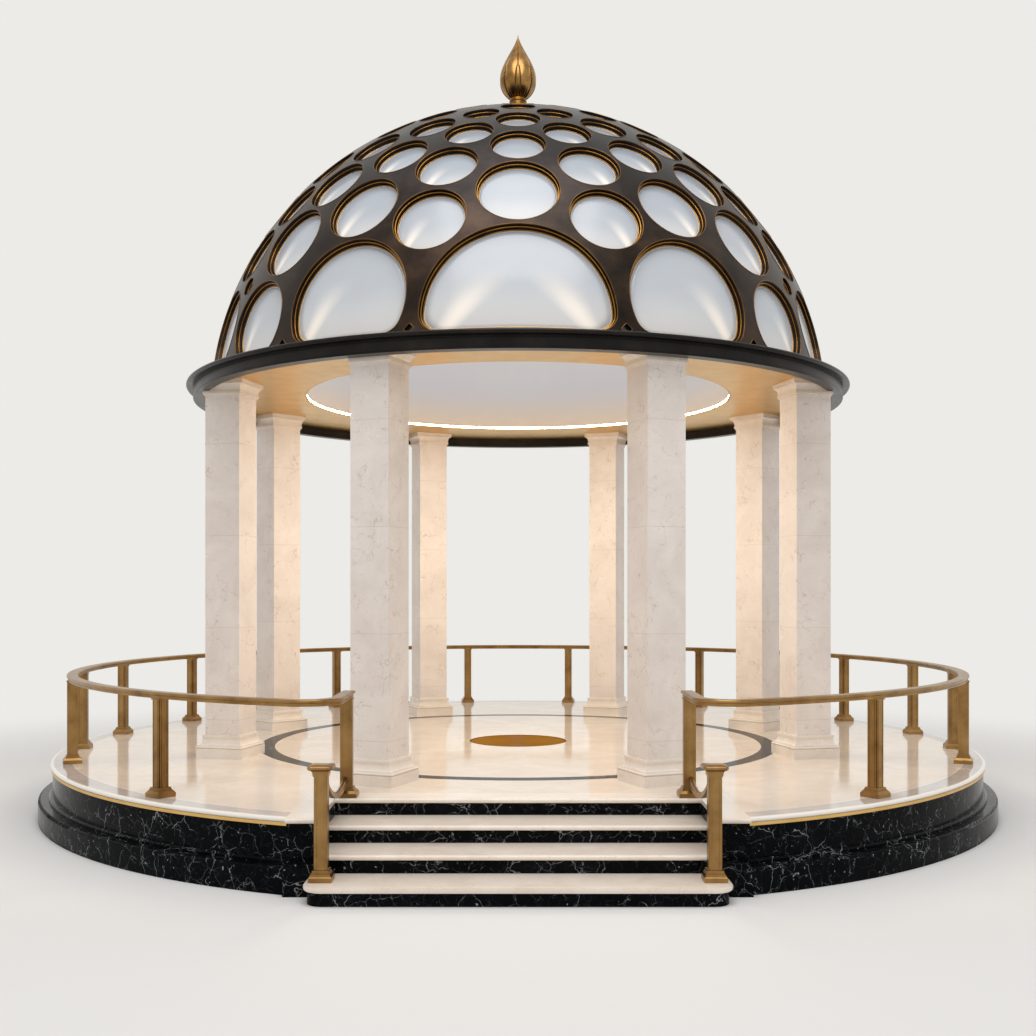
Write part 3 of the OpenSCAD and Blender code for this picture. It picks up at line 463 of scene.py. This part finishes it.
def pane_glass(name="milky_pane_with_painted_flares"):
    """Milky glass on a UV map that runs -1 to 1 across each opening, with painted shading that makes it paler
    low down and darker with height, where the pane leans back to the sky."""
    material, tree, output, coords = new_material(name)
    across, rise, _ = add(tree, "SeparateXYZ", {"Vector": add(tree, "UVMap", uv_map="opening")}).outputs
    haze = add(tree, "TexNoise", {"Vector": coords, "Scale": 1.1, "Detail": 3.0, "Distortion": 0.8})
    milk = add(tree, "ValToRGB", {"Fac": haze}, [(0.3, "#a9b1bc"), (0.55, "#b0b7c0"), (0.8, "#b7bdc5")])
    height = add(tree, "SeparateXYZ", {"Vector": coords}).outputs["Z"]
    # Painted shading: the pane is paler low down and darker with height
    high = add(tree, "MapRange", {"Value": height, "From Min": spring_z + 0.1, "From Max": spring_z + 2.3})
    pale = lay_over(tree, milk, (0.35, 1.0, "#e4e6e8"))
    deep = lay_over(tree, milk, (0.75, 1.0, "#8b929c"))
    # Painted flares of light: a paler colour and a glow, low at the opening's sides and foot
    painted_flare = painted_flare_pattern(tree, across, rise)
    look = {"Base Color": lay_over(tree, pale, (high, 1.0, deep), (painted_flare, 1.0, "#e9e2da")),
            "Roughness": 0.2, "IOR": 1.5, "Emission Strength": 0.22,
            "Emission Color": lay_over(tree, "#000000", (painted_flare, 1.0, "#fff0dc"))}
    finish_surface(tree, output, look, haze, 0.0005)
    return material


flared_glass = pane_glass()
print("made", flared_glass.name)

# %% [markdown]
# ## Sealant and the light line
# A bead of pale silicone seals each pane. The light line is an opal diffuser in a brass channel: only the
# side that faces the middle of the room shines.

# %% Sealant and light materials
def silicone(name="pale_silicone_sealant"):
    """Matt off-white rubber with the slow ripple that a finger leaves in it."""
    material, tree, output, coords = new_material(name)
    ripple = add(tree, "TexNoise", {"Vector": coords, "Scale": 14.0, "Detail": 2.0})
    colour = add(tree, "ValToRGB", {"Fac": ripple}, [(0.3, "#cfccc4"), (0.7, "#e6e3dc")])
    finish_surface(tree, output, {"Base Color": colour, "Roughness": 0.45}, ripple, 0.0005)
    return material


def light_line(name="opal_light_diffuser"):
    """Shines where the normal, times the level direction away from the axis, is below -0.5."""
    material, tree, output, coords = new_material(name)
    dots = add(tree, "TexNoise", {"Vector": coords, "Scale": 9.0, "Detail": 1.0})
    warm = add(tree, "ValToRGB", {"Fac": dots}, [(0.2, "#ffd9a0"), (0.8, "#ffe3b4")])
    normal = add(tree, "NewGeometry").outputs["Normal"]
    level = add(tree, "VectorMath", {0: coords, 1: (1, 1, 0)}, operation="MULTIPLY")
    away = add(tree, "VectorMath", {0: level}, operation="NORMALIZE")
    facing = add(tree, "VectorMath", {0: normal, 1: away}, operation="DOT_PRODUCT").outputs["Value"]
    inward = add(tree, "Math", {0: facing, 1: -0.5}, operation="LESS_THAN")
    look = {"Base Color": lay_over(tree, "#d6ac72", (inward, 1.0, warm)), "Roughness": 0.5,
            "Emission Color": lay_over(tree, "#000000", (inward, 1.0, warm)), "Emission Strength": 30.0}
    finish_surface(tree, output, look)
    return material


diffuser = light_line()
sealant = silicone()
print("made", diffuser.name, sealant.name)

# %% [markdown]
# ## Dressing the CAD nodes
# Every CAD node keeps its mesh and gets one of the finishes above.

# %% Assign finishes
def dress(names, material):
    """Puts one material on each named CAD node."""
    for name in names:
        mesh = nodes[name].data
        mesh.materials.clear()
        mesh.materials.append(material)


dress(["podium_plinth", "podium_drum", "stair_risers", "stair_core", "stair_cheeks", "floor_ring"], black)
dress(["deck_paving", "inner_floor"], floor_cream)
dress(["deck_border"], border_grey)
dress(["stair_landing", "tread_1", "tread_2", "tread_3", "cheek_copings", "floor_ring_fillets"], edge_cream)
dress([n for n in nodes if n.startswith("column_")], shaft_cream)
dress(["column_bases", "column_capitals"], edge_cream)
dress([n for n in nodes if n.startswith("dome_lattice")], bronze)
dress(["ring_beam"], beam_bronze)
dress(["dome_glass_front", "dome_glass_back"], glass)
dress(["light_strip"], diffuser)
dress(["soffit_ring", "edge_strip"], soffit_brass)
dress(["floor_medallion"], disc_brass)
dress(["finial", "finial_foot"], gilt)
dress(["handrail_left", "handrail_right", "rail_posts_left", "rail_posts_right"], rail_brass)
dress(["newel_posts", "stair_rails"], rail_brass)
print("nodes left bare:", [n for n in nodes if not nodes[n].data.materials])

# %% [markdown]
# ## Surfaces from arrays
# New trim is worked out as whole arrays: a grid of points in two parameters, or many such grids at once,
# and one function that joins neighbours in the grid into faces.

# %% Mesh builders
def place_piece(name, mesh, material):
    """Smooth-shaded object of a new mesh, at the origin, riding on the building."""
    mesh.materials.append(material)
    mesh.polygons.foreach_set("use_smooth", [True] * len(mesh.polygons))
    piece = bpy.data.objects.new(name, mesh)
    bpy.context.scene.collection.objects.link(piece)
    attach(piece, "root")
    mesh.calc_loop_triangles()
    print(name, len(mesh.loop_triangles), "triangles")
    return piece


def tube_object(name, points, material):
    """Joins grids of points, shaped (copies, along, around, 3), into tubes that close both ways."""
    copies, along, around, _ = points.shape
    index = np.arange(copies * along * around).reshape(copies, along, around)
    ahead = np.roll(index, -1, axis=1)
    corners = np.stack([index, ahead, np.roll(ahead, -1, axis=2), np.roll(index, -1, axis=2)], axis=-1)
    mesh = bpy.data.meshes.new(name)
    mesh.from_pydata(points.reshape(-1, 3), [], corners.reshape(-1, 4))
    build = bmesh.new()
    build.from_mesh(mesh)
    bmesh.ops.recalc_face_normals(build, faces=build.faces)
    build.to_mesh(mesh)
    build.free()
    return place_piece(name, mesh, material)


def capped_object(name, points, material, slot, uv=None):
    """Joins rings, shaped (copies, rings, around, 3), into closed forms with a cap at each end. Faces point
    outwards when the rings turn left round the way that they follow each other."""
    copies, rings, around, _ = points.shape
    index = np.arange(copies * rings * around).reshape(copies, rings, around)
    beside = np.roll(index, -1, axis=2)
    quads = np.stack([index[:, :-1], beside[:, :-1], beside[:, 1:], index[:, 1:]], axis=-1).reshape(-1, 4)
    caps = index[:, 0, ::-1].tolist() + index[:, -1].tolist()
    mesh = bpy.data.meshes.new(name)
    mesh.from_pydata(points.reshape(-1, 3), [], quads.tolist() + caps)
    if uv is not None:
        corner = np.empty(len(mesh.loops), np.int32)
        mesh.loops.foreach_get("vertex_index", corner)
        layer = mesh.uv_layers.new(name="opening")
        layer.data.foreach_set("uv", uv.reshape(-1, 2)[corner].astype(np.float32).ravel())
    return place_piece(name, mesh, material)


print("mesh builders ready")

# %% [markdown]
# ## Where the openings are
# The bronze shell has round holes, bored straight in towards the dome's centre, and arches that stand on
# its sill. Each has a ledge 34 mm below the outer face, 14 mm wide. The places are angles: the azimuth
# counts from the front, the elevation from the dome's centre. One quarter is listed, and its mirror
# images give the other three.

# %% The openings
# All in degrees: azimuth, elevation and angular radius of the round holes of one quarter, off its meridians
QUARTER = [
    (15, 25.2, 5.8), (29, 29.4, 6.1), (45, 25.6, 6.4), (60.5, 26.6, 5.2), (75, 26, 6),
    (14, 36.8, 5), (26, 41.4, 4.7), (40.5, 37.2, 5.2), (54, 35.8, 4.6), (66.5, 37, 4.6), (78.5, 37, 4.2),
    (11.5, 46.6, 4), (23, 51, 4), (37.5, 47.4, 4.4), (52.5, 45.6, 4.5), (67.5, 46.8, 4.5), (79.5, 46.8, 3.4),
    (11, 56, 3.1), (28, 59.5, 3.4), (41.5, 56.5, 3.7), (59, 55.4, 3.8), (76, 56, 3.7), (56.5, 19.5, 1.6),
]
# Elevation and radius of the holes above the middle of each side, and of the two rows round the crown,
# which also give how many there are
MERIDIAN = [(30.5, 6.4), (42, 4.4), (51.8, 3.7), (61, 3)]
CROWN = [(68, 2.7, 16), (74.5, 2.3, 12)]
# Azimuth, elevation and radius of the arches' circles, and the azimuths of the small piercings
ARCHES = [(0, 8.6, 14.8), (28, 12, 10.6), (49, 11.6, 7.2), (65.5, 13, 7.6), (90, 8.6, 14.8)]
PIERCINGS = [16.3, 40.3, 57.2, 73.6]
# In metres: the sill's height over the glass's foot, the radius of the arches' lower corners, the ledge's
# width and its depth below the outer face
SILL, CORNER, LEDGE, LEDGE_DEPTH = 0.060, 0.190, 0.014, 0.034


def mirrored(rows):
    """Rows of one quarter and their mirror images, each place once."""
    images = [(sign * az + half, *rest) for az, *rest in rows for half in (0, 180) for sign in (1, -1)]
    return np.array(sorted({(round(az % 360, 3), *rest) for az, *rest in images}))


rounds = mirrored(QUARTER + [(az, e, a) for az in (0, 90) for e, a in MERIDIAN])
crown = np.array([(k * 360 / count, e, a) for e, a, count in CROWN for k in range(count)])
rounds = np.concatenate([rounds, crown])
arches = mirrored(ARCHES)
sill_angle = math.asin((spring_z - centre_z + SILL) / shell_r)
print(len(rounds), "round holes,", len(arches), "arches")


# %% Paths on the dome
def frame_at(azimuth, elevation):
    """Unit vectors at places on the dome, from angles in degrees: outwards, down the slope, sideways."""
    az, el = np.radians(azimuth), np.radians(elevation)
    out = np.stack([np.sin(az) * np.cos(el), -np.cos(az) * np.cos(el), np.sin(el)], axis=-1)
    down = np.stack([np.sin(az) * np.sin(el), -np.cos(az) * np.sin(el), -np.cos(el)], axis=-1)
    side = np.stack([np.cos(az), np.sin(az), 0 * az], axis=-1)
    return out[:, None, :], down[:, None, :], side[:, None, :]


def on_sphere(azimuth, elevation, x, y, z, reach):
    """Points x down, y sideways and z outwards from the dome's centre, pushed on to a sphere of radius
    reach."""
    out, down, side = frame_at(azimuth, elevation)
    points = x[..., None] * down + y[..., None] * side + z[..., None] * out
    return points * (reach / np.linalg.norm(points, axis=-1))[..., None]


def round_paths(inset, reach, steps=56):
    """Circles of radius R - inset, where R = shell_r sin(a), at height sqrt(reach^2 - radius^2) on their
    axes."""
    az, el, half = rounds.T
    radius = (shell_r * np.sin(np.radians(half)) - inset)[:, None]
    turn = np.linspace(0, 2 * np.pi, steps, endpoint=False)[None, :]
    height = np.sqrt(reach ** 2 - radius ** 2) + 0 * turn
    return on_sphere(az, el, radius * np.cos(turn), radius * np.sin(turn), height, reach)


def arch_paths(inset, reach):
    """A circle of radius r = shell_r tan(a), cut level at x = low, its corners rounded: a wide arc, two
    small arcs and the level foot."""
    az, el, half = arches.T[:, :, None]
    r = shell_r * np.tan(np.radians(half))
    low = shell_r * np.tan(np.radians(el) - sill_angle)
    corner_x = low - CORNER
    corner_y = np.sqrt((r - CORNER) ** 2 - corner_x ** 2)
    start = np.arctan2(corner_y, corner_x)
    wide = start + (2 * np.pi - 2 * start) * np.linspace(0, 1, 64)
    left = -start * np.linspace(1, 0, 12)[1:]
    right = start * np.linspace(0, 1, 12)[:-1]
    foot = np.linspace(-1, 1, 16)[1:-1] * corner_y
    small = CORNER - inset
    x = np.concatenate([(r - inset) * np.cos(wide), corner_x + small * np.cos(left),
                        corner_x + small + 0 * foot, corner_x + small * np.cos(right)], axis=1)
    y = np.concatenate([(r - inset) * np.sin(wide), -corner_y + small * np.sin(left), foot,
                        corner_y + small * np.sin(right)], axis=1)
    return on_sphere(az[:, 0], el[:, 0], x, y, shell_r + 0 * x, reach)


# In metres: half the foot of a piercing, and the radius of its corners
HALF_FOOT, ROUNDING = 0.075, 0.016


def piercing_paths(inset, reach, steps=8):
    """Small triangles on the sill: corners moved in by ROUNDING along both edges' normals, then rounded
    out again by ROUNDING less the inset."""
    azimuth = mirrored([(az, 0) for az in PIERCINGS])[:, 0]
    corners = HALF_FOOT * np.array([(0, -1), (0, 1), (-1.1, 0)])
    edge = np.roll(corners, -1, axis=0) - corners
    normal = np.stack([edge[:, 1], -edge[:, 0]], axis=1) / np.linalg.norm(edge, axis=1)[:, None]
    before = np.roll(normal, 1, axis=0)
    inner = corners - ROUNDING * (normal + before) / (1 + (normal * before).sum(axis=1))[:, None]
    share = np.linspace(0, 1, steps)[None, :, None]
    way = (1 - share) * before[:, None, :] + share * normal[:, None, :]
    way = way / np.linalg.norm(way, axis=2)[:, :, None]
    outline = (inner[:, None, :] + (ROUNDING - inset) * way).reshape(1, -1, 2)
    x, y = outline[..., 0] + 0 * azimuth[:, None], outline[..., 1] + 0 * azimuth[:, None]
    elevation = np.full(len(azimuth), math.degrees(sill_angle))
    return on_sphere(azimuth, elevation, x, y, shell_r + 0 * x, reach)


print("paths:", round_paths(0, shell_r).shape, arch_paths(0, shell_r).shape, piercing_paths(0, shell_r).shape)

# %% [markdown]
# ## Beads round the openings
# A frame of one opening is, from the outside in: a fine raised edge, painted a paler tan for the highlight
# that it catches, the dark wall of the shell, a gilded band on the ledge, a dark groove, a gilded bead where
# the bronze meets the glass, and a thin line of pale sealant on the glass. Each of them is a tube of oval
# section carried along the opening's outline.

# %% Bead surfaces
def tubes(paths, width, height, sides=8):
    """Closed tubes: across is the path's direction crossed with the way out of the dome, and the section is
    an oval, width / 2 * cos(t) across and height / 2 * sin(t) outwards."""
    ahead = np.roll(paths, -1, axis=1) - np.roll(paths, 1, axis=1)
    out = paths / np.linalg.norm(paths, axis=2)[:, :, None]
    across = np.cross(ahead, out)
    across = across / np.linalg.norm(across, axis=2)[:, :, None]
    turn = np.linspace(0, 2 * np.pi, sides, endpoint=False)[None, None, :, None]
    points = paths[:, :, None] + width / 2 * np.cos(turn) * across[:, :, None]
    points = points + height / 2 * np.sin(turn) * out[:, :, None]
    return points + np.array([0, 0, centre_z])


def bead_set(label, inset, depth, width, height, material):
    """One bead on every round hole and on every arch, at a depth below the shell's outer face."""
    reach = shell_r - depth
    tube_object(f"{label}_on_rounds", tubes(round_paths(inset, reach), width, height), material)
    tube_object(f"{label}_on_arches", tubes(arch_paths(inset, reach), width, height), material)


# Inset and depth place a bead's middle; the last two sizes are its width and height, all in metres
shell_t = shell_r - glass_r
bead_set("edge_beads", -0.002, 0.001, 0.010, 0.010, edge_bronze)
bead_set("ledge_bands", LEDGE / 2 + 0.002, LEDGE_DEPTH + 0.001, 0.020, 0.012, gilt)
bead_set("glazing_beads", LEDGE + 0.008, shell_t - 0.006, 0.020, 0.016, gilt)
bead_set("sealant_lines", LEDGE + 0.020, shell_t - 0.002, 0.006, 0.005, sealant)
piercing_tubes = tubes(piercing_paths(0.001, shell_r - 0.001), 0.008, 0.008)
tube_object("piercing_beads", piercing_tubes, edge_bronze)

# %% [markdown]
# ## Panes in the openings
# Seen from outside, each opening shows one smooth pane that sits in the frame with a polished front. It is
# a thin cushion on the sphere: rings that run out to the frame behind the front face and back to the middle
# on it. Its UV map gives the place across the opening, -1 to 1, with the positive side always away from
# the front or back meridian, so the painted flares of light fall towards the dome's sides. The arches on the
# meridian have painted flares on both sides, and the round holes above them have only the painted glow at
# their foot.

# %% Pane surfaces
# How far out each ring lies, as a share of the way to the frame, and its place behind (-1) or in front (1)
RINGS = [0.06, 0.35, 0.65, 1.0, 1.0, 0.88, 0.65, 0.35, 0.06]
LIFTS = [-1, -1, -1, -1, 0.6, 1, 1, 1, 1]


def side_of_meridian(azimuth):
    """1 where sideways is away from the nearer of front and back, -1 where it is towards it, 0 on it."""
    az = np.radians(azimuth)
    return np.where(np.cos(az) >= 0, 1.0, -1.0) * np.sign(np.round(np.sin(az), 6))


def pane_grid(paths, azimuth, elevation, both, proud=0.003):
    """Points middle + s (edge - middle), with s from RINGS, pushed on to spheres of radius glass_r + proud
    times LIFTS. Their UV is the place sideways over the half width, and the place upwards scaled to -1..1."""
    _, down, side = frame_at(azimuth, elevation)
    middle = paths.mean(axis=1)[:, None, None, :]
    spread = paths[:, None] - middle
    local = np.array(RINGS)[None, :, None, None] * spread
    half = np.linalg.norm(spread, axis=-1).max(axis=(1, 2))[:, None, None]
    turn = side_of_meridian(azimuth)[:, None, None]
    u = (local * side[:, None]).sum(axis=-1) / half
    u = np.where(turn == 0, np.abs(u) if both else -1.0, u * turn)
    v = -(local * down[:, None]).sum(axis=-1)
    low, high = v.min(axis=(1, 2), keepdims=True), v.max(axis=(1, 2), keepdims=True)
    v = (v - low) / (high - low) * 2 - 1
    points = middle + local
    reach = glass_r + proud * np.array(LIFTS)[None, :, None, None]
    points = points / np.linalg.norm(points, axis=-1)[..., None] * reach + np.array([0, 0, centre_z])
    return points, np.stack([u, v], axis=-1)


PANE_INSET = LEDGE - 0.002
pane_finish = {"material": flared_glass, "slot": "frosted_glass"}
round_panes, round_uv = pane_grid(round_paths(PANE_INSET, glass_r), rounds[:, 0], rounds[:, 1], both=False)
arch_panes, arch_uv = pane_grid(arch_paths(PANE_INSET, glass_r), arches[:, 0], arches[:, 1], both=True)
capped_object("panes_in_rounds", round_panes, uv=round_uv, **pane_finish)
capped_object("panes_in_arches", arch_panes, uv=arch_uv, **pane_finish)

# %% [markdown]
# ## The bud
# The finial is cast bronze, gilded and polished: eight long petals that meet in seams, with a short
# pointed petal set back in the foot of each seam. A cast form like this is a radius that depends on two
# things, the height and the angle, so one formula on a fine grid gives all of it.

# %% Bud surface
PETALS = 8
# In metres: across the bud, and a seam's half width and depth
BUD_WIDTH, SEAM_WIDTH, SEAM_DEPTH = 0.455, 0.0035, 0.004
# The short petals end at this share of the height
SHORT_TIP = 0.44


def bud_points(rings=200, around=400):
    """A teardrop c u^0.79 (1 - u)^1.6 times the petals' relief, on a grid of height t and angle, where u
    skips the drop's lowest 6 percent. A long petal swells between seams as 1 - k (1 - sin)^2, and a short
    one covers a seam's foot. Also returns how deep in a seam each point is, 0 to 1."""
    low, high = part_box("finial")
    t = np.linspace(0, 1, rings)[:, None]
    angle = np.linspace(0, 2 * np.pi, around, endpoint=False)[None, :]
    u = (t + 0.06) / 1.06
    radius = BUD_WIDTH / 2 * (0.015 + 4.48 * u ** 0.79 * (1 - u) ** 1.6)
    pitch = 2 * np.pi / PETALS
    off = np.abs((angle + np.pi / 2 + pitch / 2) % pitch - pitch / 2)
    short_half = np.radians(9) * np.sqrt(np.clip(1 - (t / SHORT_TIP) ** 3, 0, 1))
    fade = 1 - t * t
    long_petal = 1 - 0.055 * fade * (1 - np.sin(off * PETALS / 2)) ** 2
    short_petal = 1 - 0.075 * fade + 0.03 * fade * (1 - (off / np.maximum(short_half, 1e-6)) ** 2)
    relief = np.where(off < short_half, short_petal, long_petal)
    groove = np.exp(-((off - short_half) * radius / SEAM_WIDTH) ** 2) * np.clip((1 - t) * 4, 0, 1)
    radius = radius * relief - SEAM_DEPTH * groove
    z = low.z + (high.z - low.z) * t + 0 * angle
    points = np.stack([radius * np.cos(angle), radius * np.sin(angle), z], axis=-1)
    return points, groove


def bud_bronze(name="polished_gilt_bud"):
    """Gilt bronze that is darker where an attribute says that a point lies in a seam."""
    material, tree, output, coords = new_material(name)
    seam = add(tree, "Attribute", attribute_name="seam").outputs["Fac"]
    long_grain = add(tree, "Mapping", {"Vector": coords, "Scale": (1.0, 1.0, 0.08)})
    brushing = add(tree, "TexNoise", {"Vector": long_grain, "Scale": 160.0, "Detail": 3.0})
    tarnish = add(tree, "TexNoise", {"Vector": coords, "Scale": 9.0, "Detail": 4.0})
    ground = add(tree, "ValToRGB", {"Fac": tarnish}, [(0.3, "#7a5930"), (0.5, "#987344"), (0.75, "#b08b57")])
    colour = lay_over(tree, ground, (brushing, 0.25, "#7b5527"), (seam, 0.92, "#120b05"))
    rough = add(tree, "MapRange", {"Value": brushing, "To Min": 0.2, "To Max": 0.34})
    look = {"Base Color": colour, "Roughness": rough, "Metallic": 1.0}
    finish_surface(tree, output, look, brushing, 0.0002)
    return material


points, groove = bud_points()
bud = capped_object("finial_bud", points[None], bud_bronze(), "gilt_bronze")
seam_values = bud.data.attributes.new("seam", "FLOAT", "POINT")
seam_values.data.foreach_set("value", groove.astype(np.float32).ravel())
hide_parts("finial")

# %% [markdown]
# ## Floor, light and camera
# The pavilion stands on a plain pale floor under soft studio light from all sides, with one large soft
# lamp above and in front. Under the dome, two warm lamps that neither the camera nor a reflection sees
# carry the light that the ring of diffusers and the pale stone would throw. The backdrop's colour is for
# the camera, mirrors and glass only, so the light on the object stays at a plain level.

# %% Floor
BACKDROP = "#ecebe7"
FLOOR_FADE_FROM, FLOOR_FADE_TO, FLOOR_SIZE = 7.0, 13.0, 60.0


def studio_floor(backdrop):
    """A wide plane at ground level that fades into the backdrop's colour away from the object."""
    material, tree, output, coords = new_material("studio_floor")
    distance = add(tree, "VectorMath", {0: coords}, operation="LENGTH").outputs["Value"]
    far = add(tree, "MapRange", {"Value": distance, "From Min": FLOOR_FADE_FROM, "From Max": FLOOR_FADE_TO},
              interpolation_type="SMOOTHSTEP")
    ground = add(tree, "BsdfDiffuse", {"Color": "#e0dfde"})
    flat = add(tree, "Emission", {"Color": backdrop, "Strength": 1.0})
    path = add(tree, "LightPath").outputs
    seen = add(tree, "Math", {0: path["Is Camera Ray"], 1: path["Is Glossy Ray"]}, operation="MAXIMUM")
    share = add(tree, "Math", {0: far, 1: seen}, operation="MULTIPLY")
    blend = add(tree, "MixShader", {0: share, 1: ground, 2: flat})
    tree.links.new(blend.outputs[0], output.inputs["Surface"])
    mesh = bpy.data.meshes.new("studio_floor")
    side = FLOOR_SIZE / 2
    mesh.from_pydata([(-side, -side, 0), (side, -side, 0), (side, side, 0), (-side, side, 0)],
                     [], [(0, 1, 2, 3)])
    mesh.materials.append(material)
    floor = bpy.data.objects.new("studio_floor", mesh)
    bpy.context.scene.collection.objects.link(floor)


studio_floor(BACKDROP)
print("floor", FLOOR_SIZE, "m wide")


# %% World
def studio_world(backdrop, strength):
    """White light for the object; the backdrop's colour for what the camera, mirrors and glass see."""
    world = bpy.data.worlds.new("studio")
    bpy.context.scene.world = world
    world.use_nodes = True
    tree = world.node_tree
    tree.nodes.clear()
    path = add(tree, "LightPath").outputs
    mirror = add(tree, "Math", {0: path["Is Glossy Ray"], 1: path["Is Transmission Ray"]},
                 operation="MAXIMUM")
    seen = add(tree, "Math", {0: path["Is Camera Ray"], 1: mirror}, operation="MAXIMUM")
    light = add(tree, "Background", {"Color": "#fbfaf8", "Strength": strength})
    seen_light = add(tree, "Background", {"Color": backdrop, "Strength": 1.0})
    blend = add(tree, "MixShader", {0: seen, 1: light, 2: seen_light})
    add(tree, "OutputWorld", {"Surface": blend})


studio_world(BACKDROP, 0.78)
print("world ready")


# %% Lamps
def place_lamp(name, kind, place, watts, colour, **settings):
    """A lamp of one of Blender's kinds, with its own settings such as size; returns its object."""
    data = bpy.data.lights.new(name, kind)
    data.energy = watts
    data.color = linear(colour)[:3]
    for setting, value in settings.items():
        setattr(data, setting, value)
    lamp = bpy.data.objects.new(name, data)
    bpy.context.scene.collection.objects.link(lamp)
    lamp.location = place
    return lamp


OVERHEAD, LOOKS_AT = (0.0, -7.0, 15.0), (0.0, 0.0, 2.0)
overhead = place_lamp("overhead", "AREA", OVERHEAD, 900.0, "#ffffff", size=9.0)
aim = np.array(LOOKS_AT) - np.array(OVERHEAD)
overhead.rotation_euler = (math.atan2(math.hypot(aim[0], aim[1]), -aim[2]), 0, math.atan2(-aim[0], aim[1]))
room_lamps = [
    place_lamp("ceiling_glow", "SPOT", (0.0, 0.0, soffit_z - 0.1), 315.0, "#fbead0",
               spot_size=math.radians(176), spot_blend=0.25, shadow_soft_size=1.2),
    place_lamp("room_fill", "POINT", (0.0, -0.5, soffit_z * 0.62), 55.0, "#fbeed8", shadow_soft_size=0.9),
]
for lamp in room_lamps:
    lamp.visible_camera = False
    lamp.visible_glossy = False
print("lamps:", overhead.name, [lamp.name for lamp in room_lamps])

# %% [markdown]
# ## Camera
# The camera stands 14.85 m in front of the axis at a standing viewer's height above the deck, level, so
# that upright lines stay upright. The frame is counted as 1036 units wide; the focal length in the same unit
# is 1203, and a shift of 72.2 brings the dome's top into the frame.

# %% Camera
FRAME, FOCAL, SHIFT = 1036, 1203, 72.2
camera_data = bpy.data.cameras.new("camera")
camera_data.sensor_width = 36.0
camera_data.lens = camera_data.sensor_width * FOCAL / FRAME
camera_data.shift_y = SHIFT / FRAME
camera = bpy.data.objects.new("camera", camera_data)
bpy.context.scene.collection.objects.link(camera)
camera.location = (0.0, -14.85, 2.455)
camera.rotation_euler = (math.pi / 2, 0, 0)
bpy.context.scene.camera = camera
bpy.context.scene.view_settings.view_transform = "Standard"
print("camera at", tuple(round(c, 2) for c in camera.location))
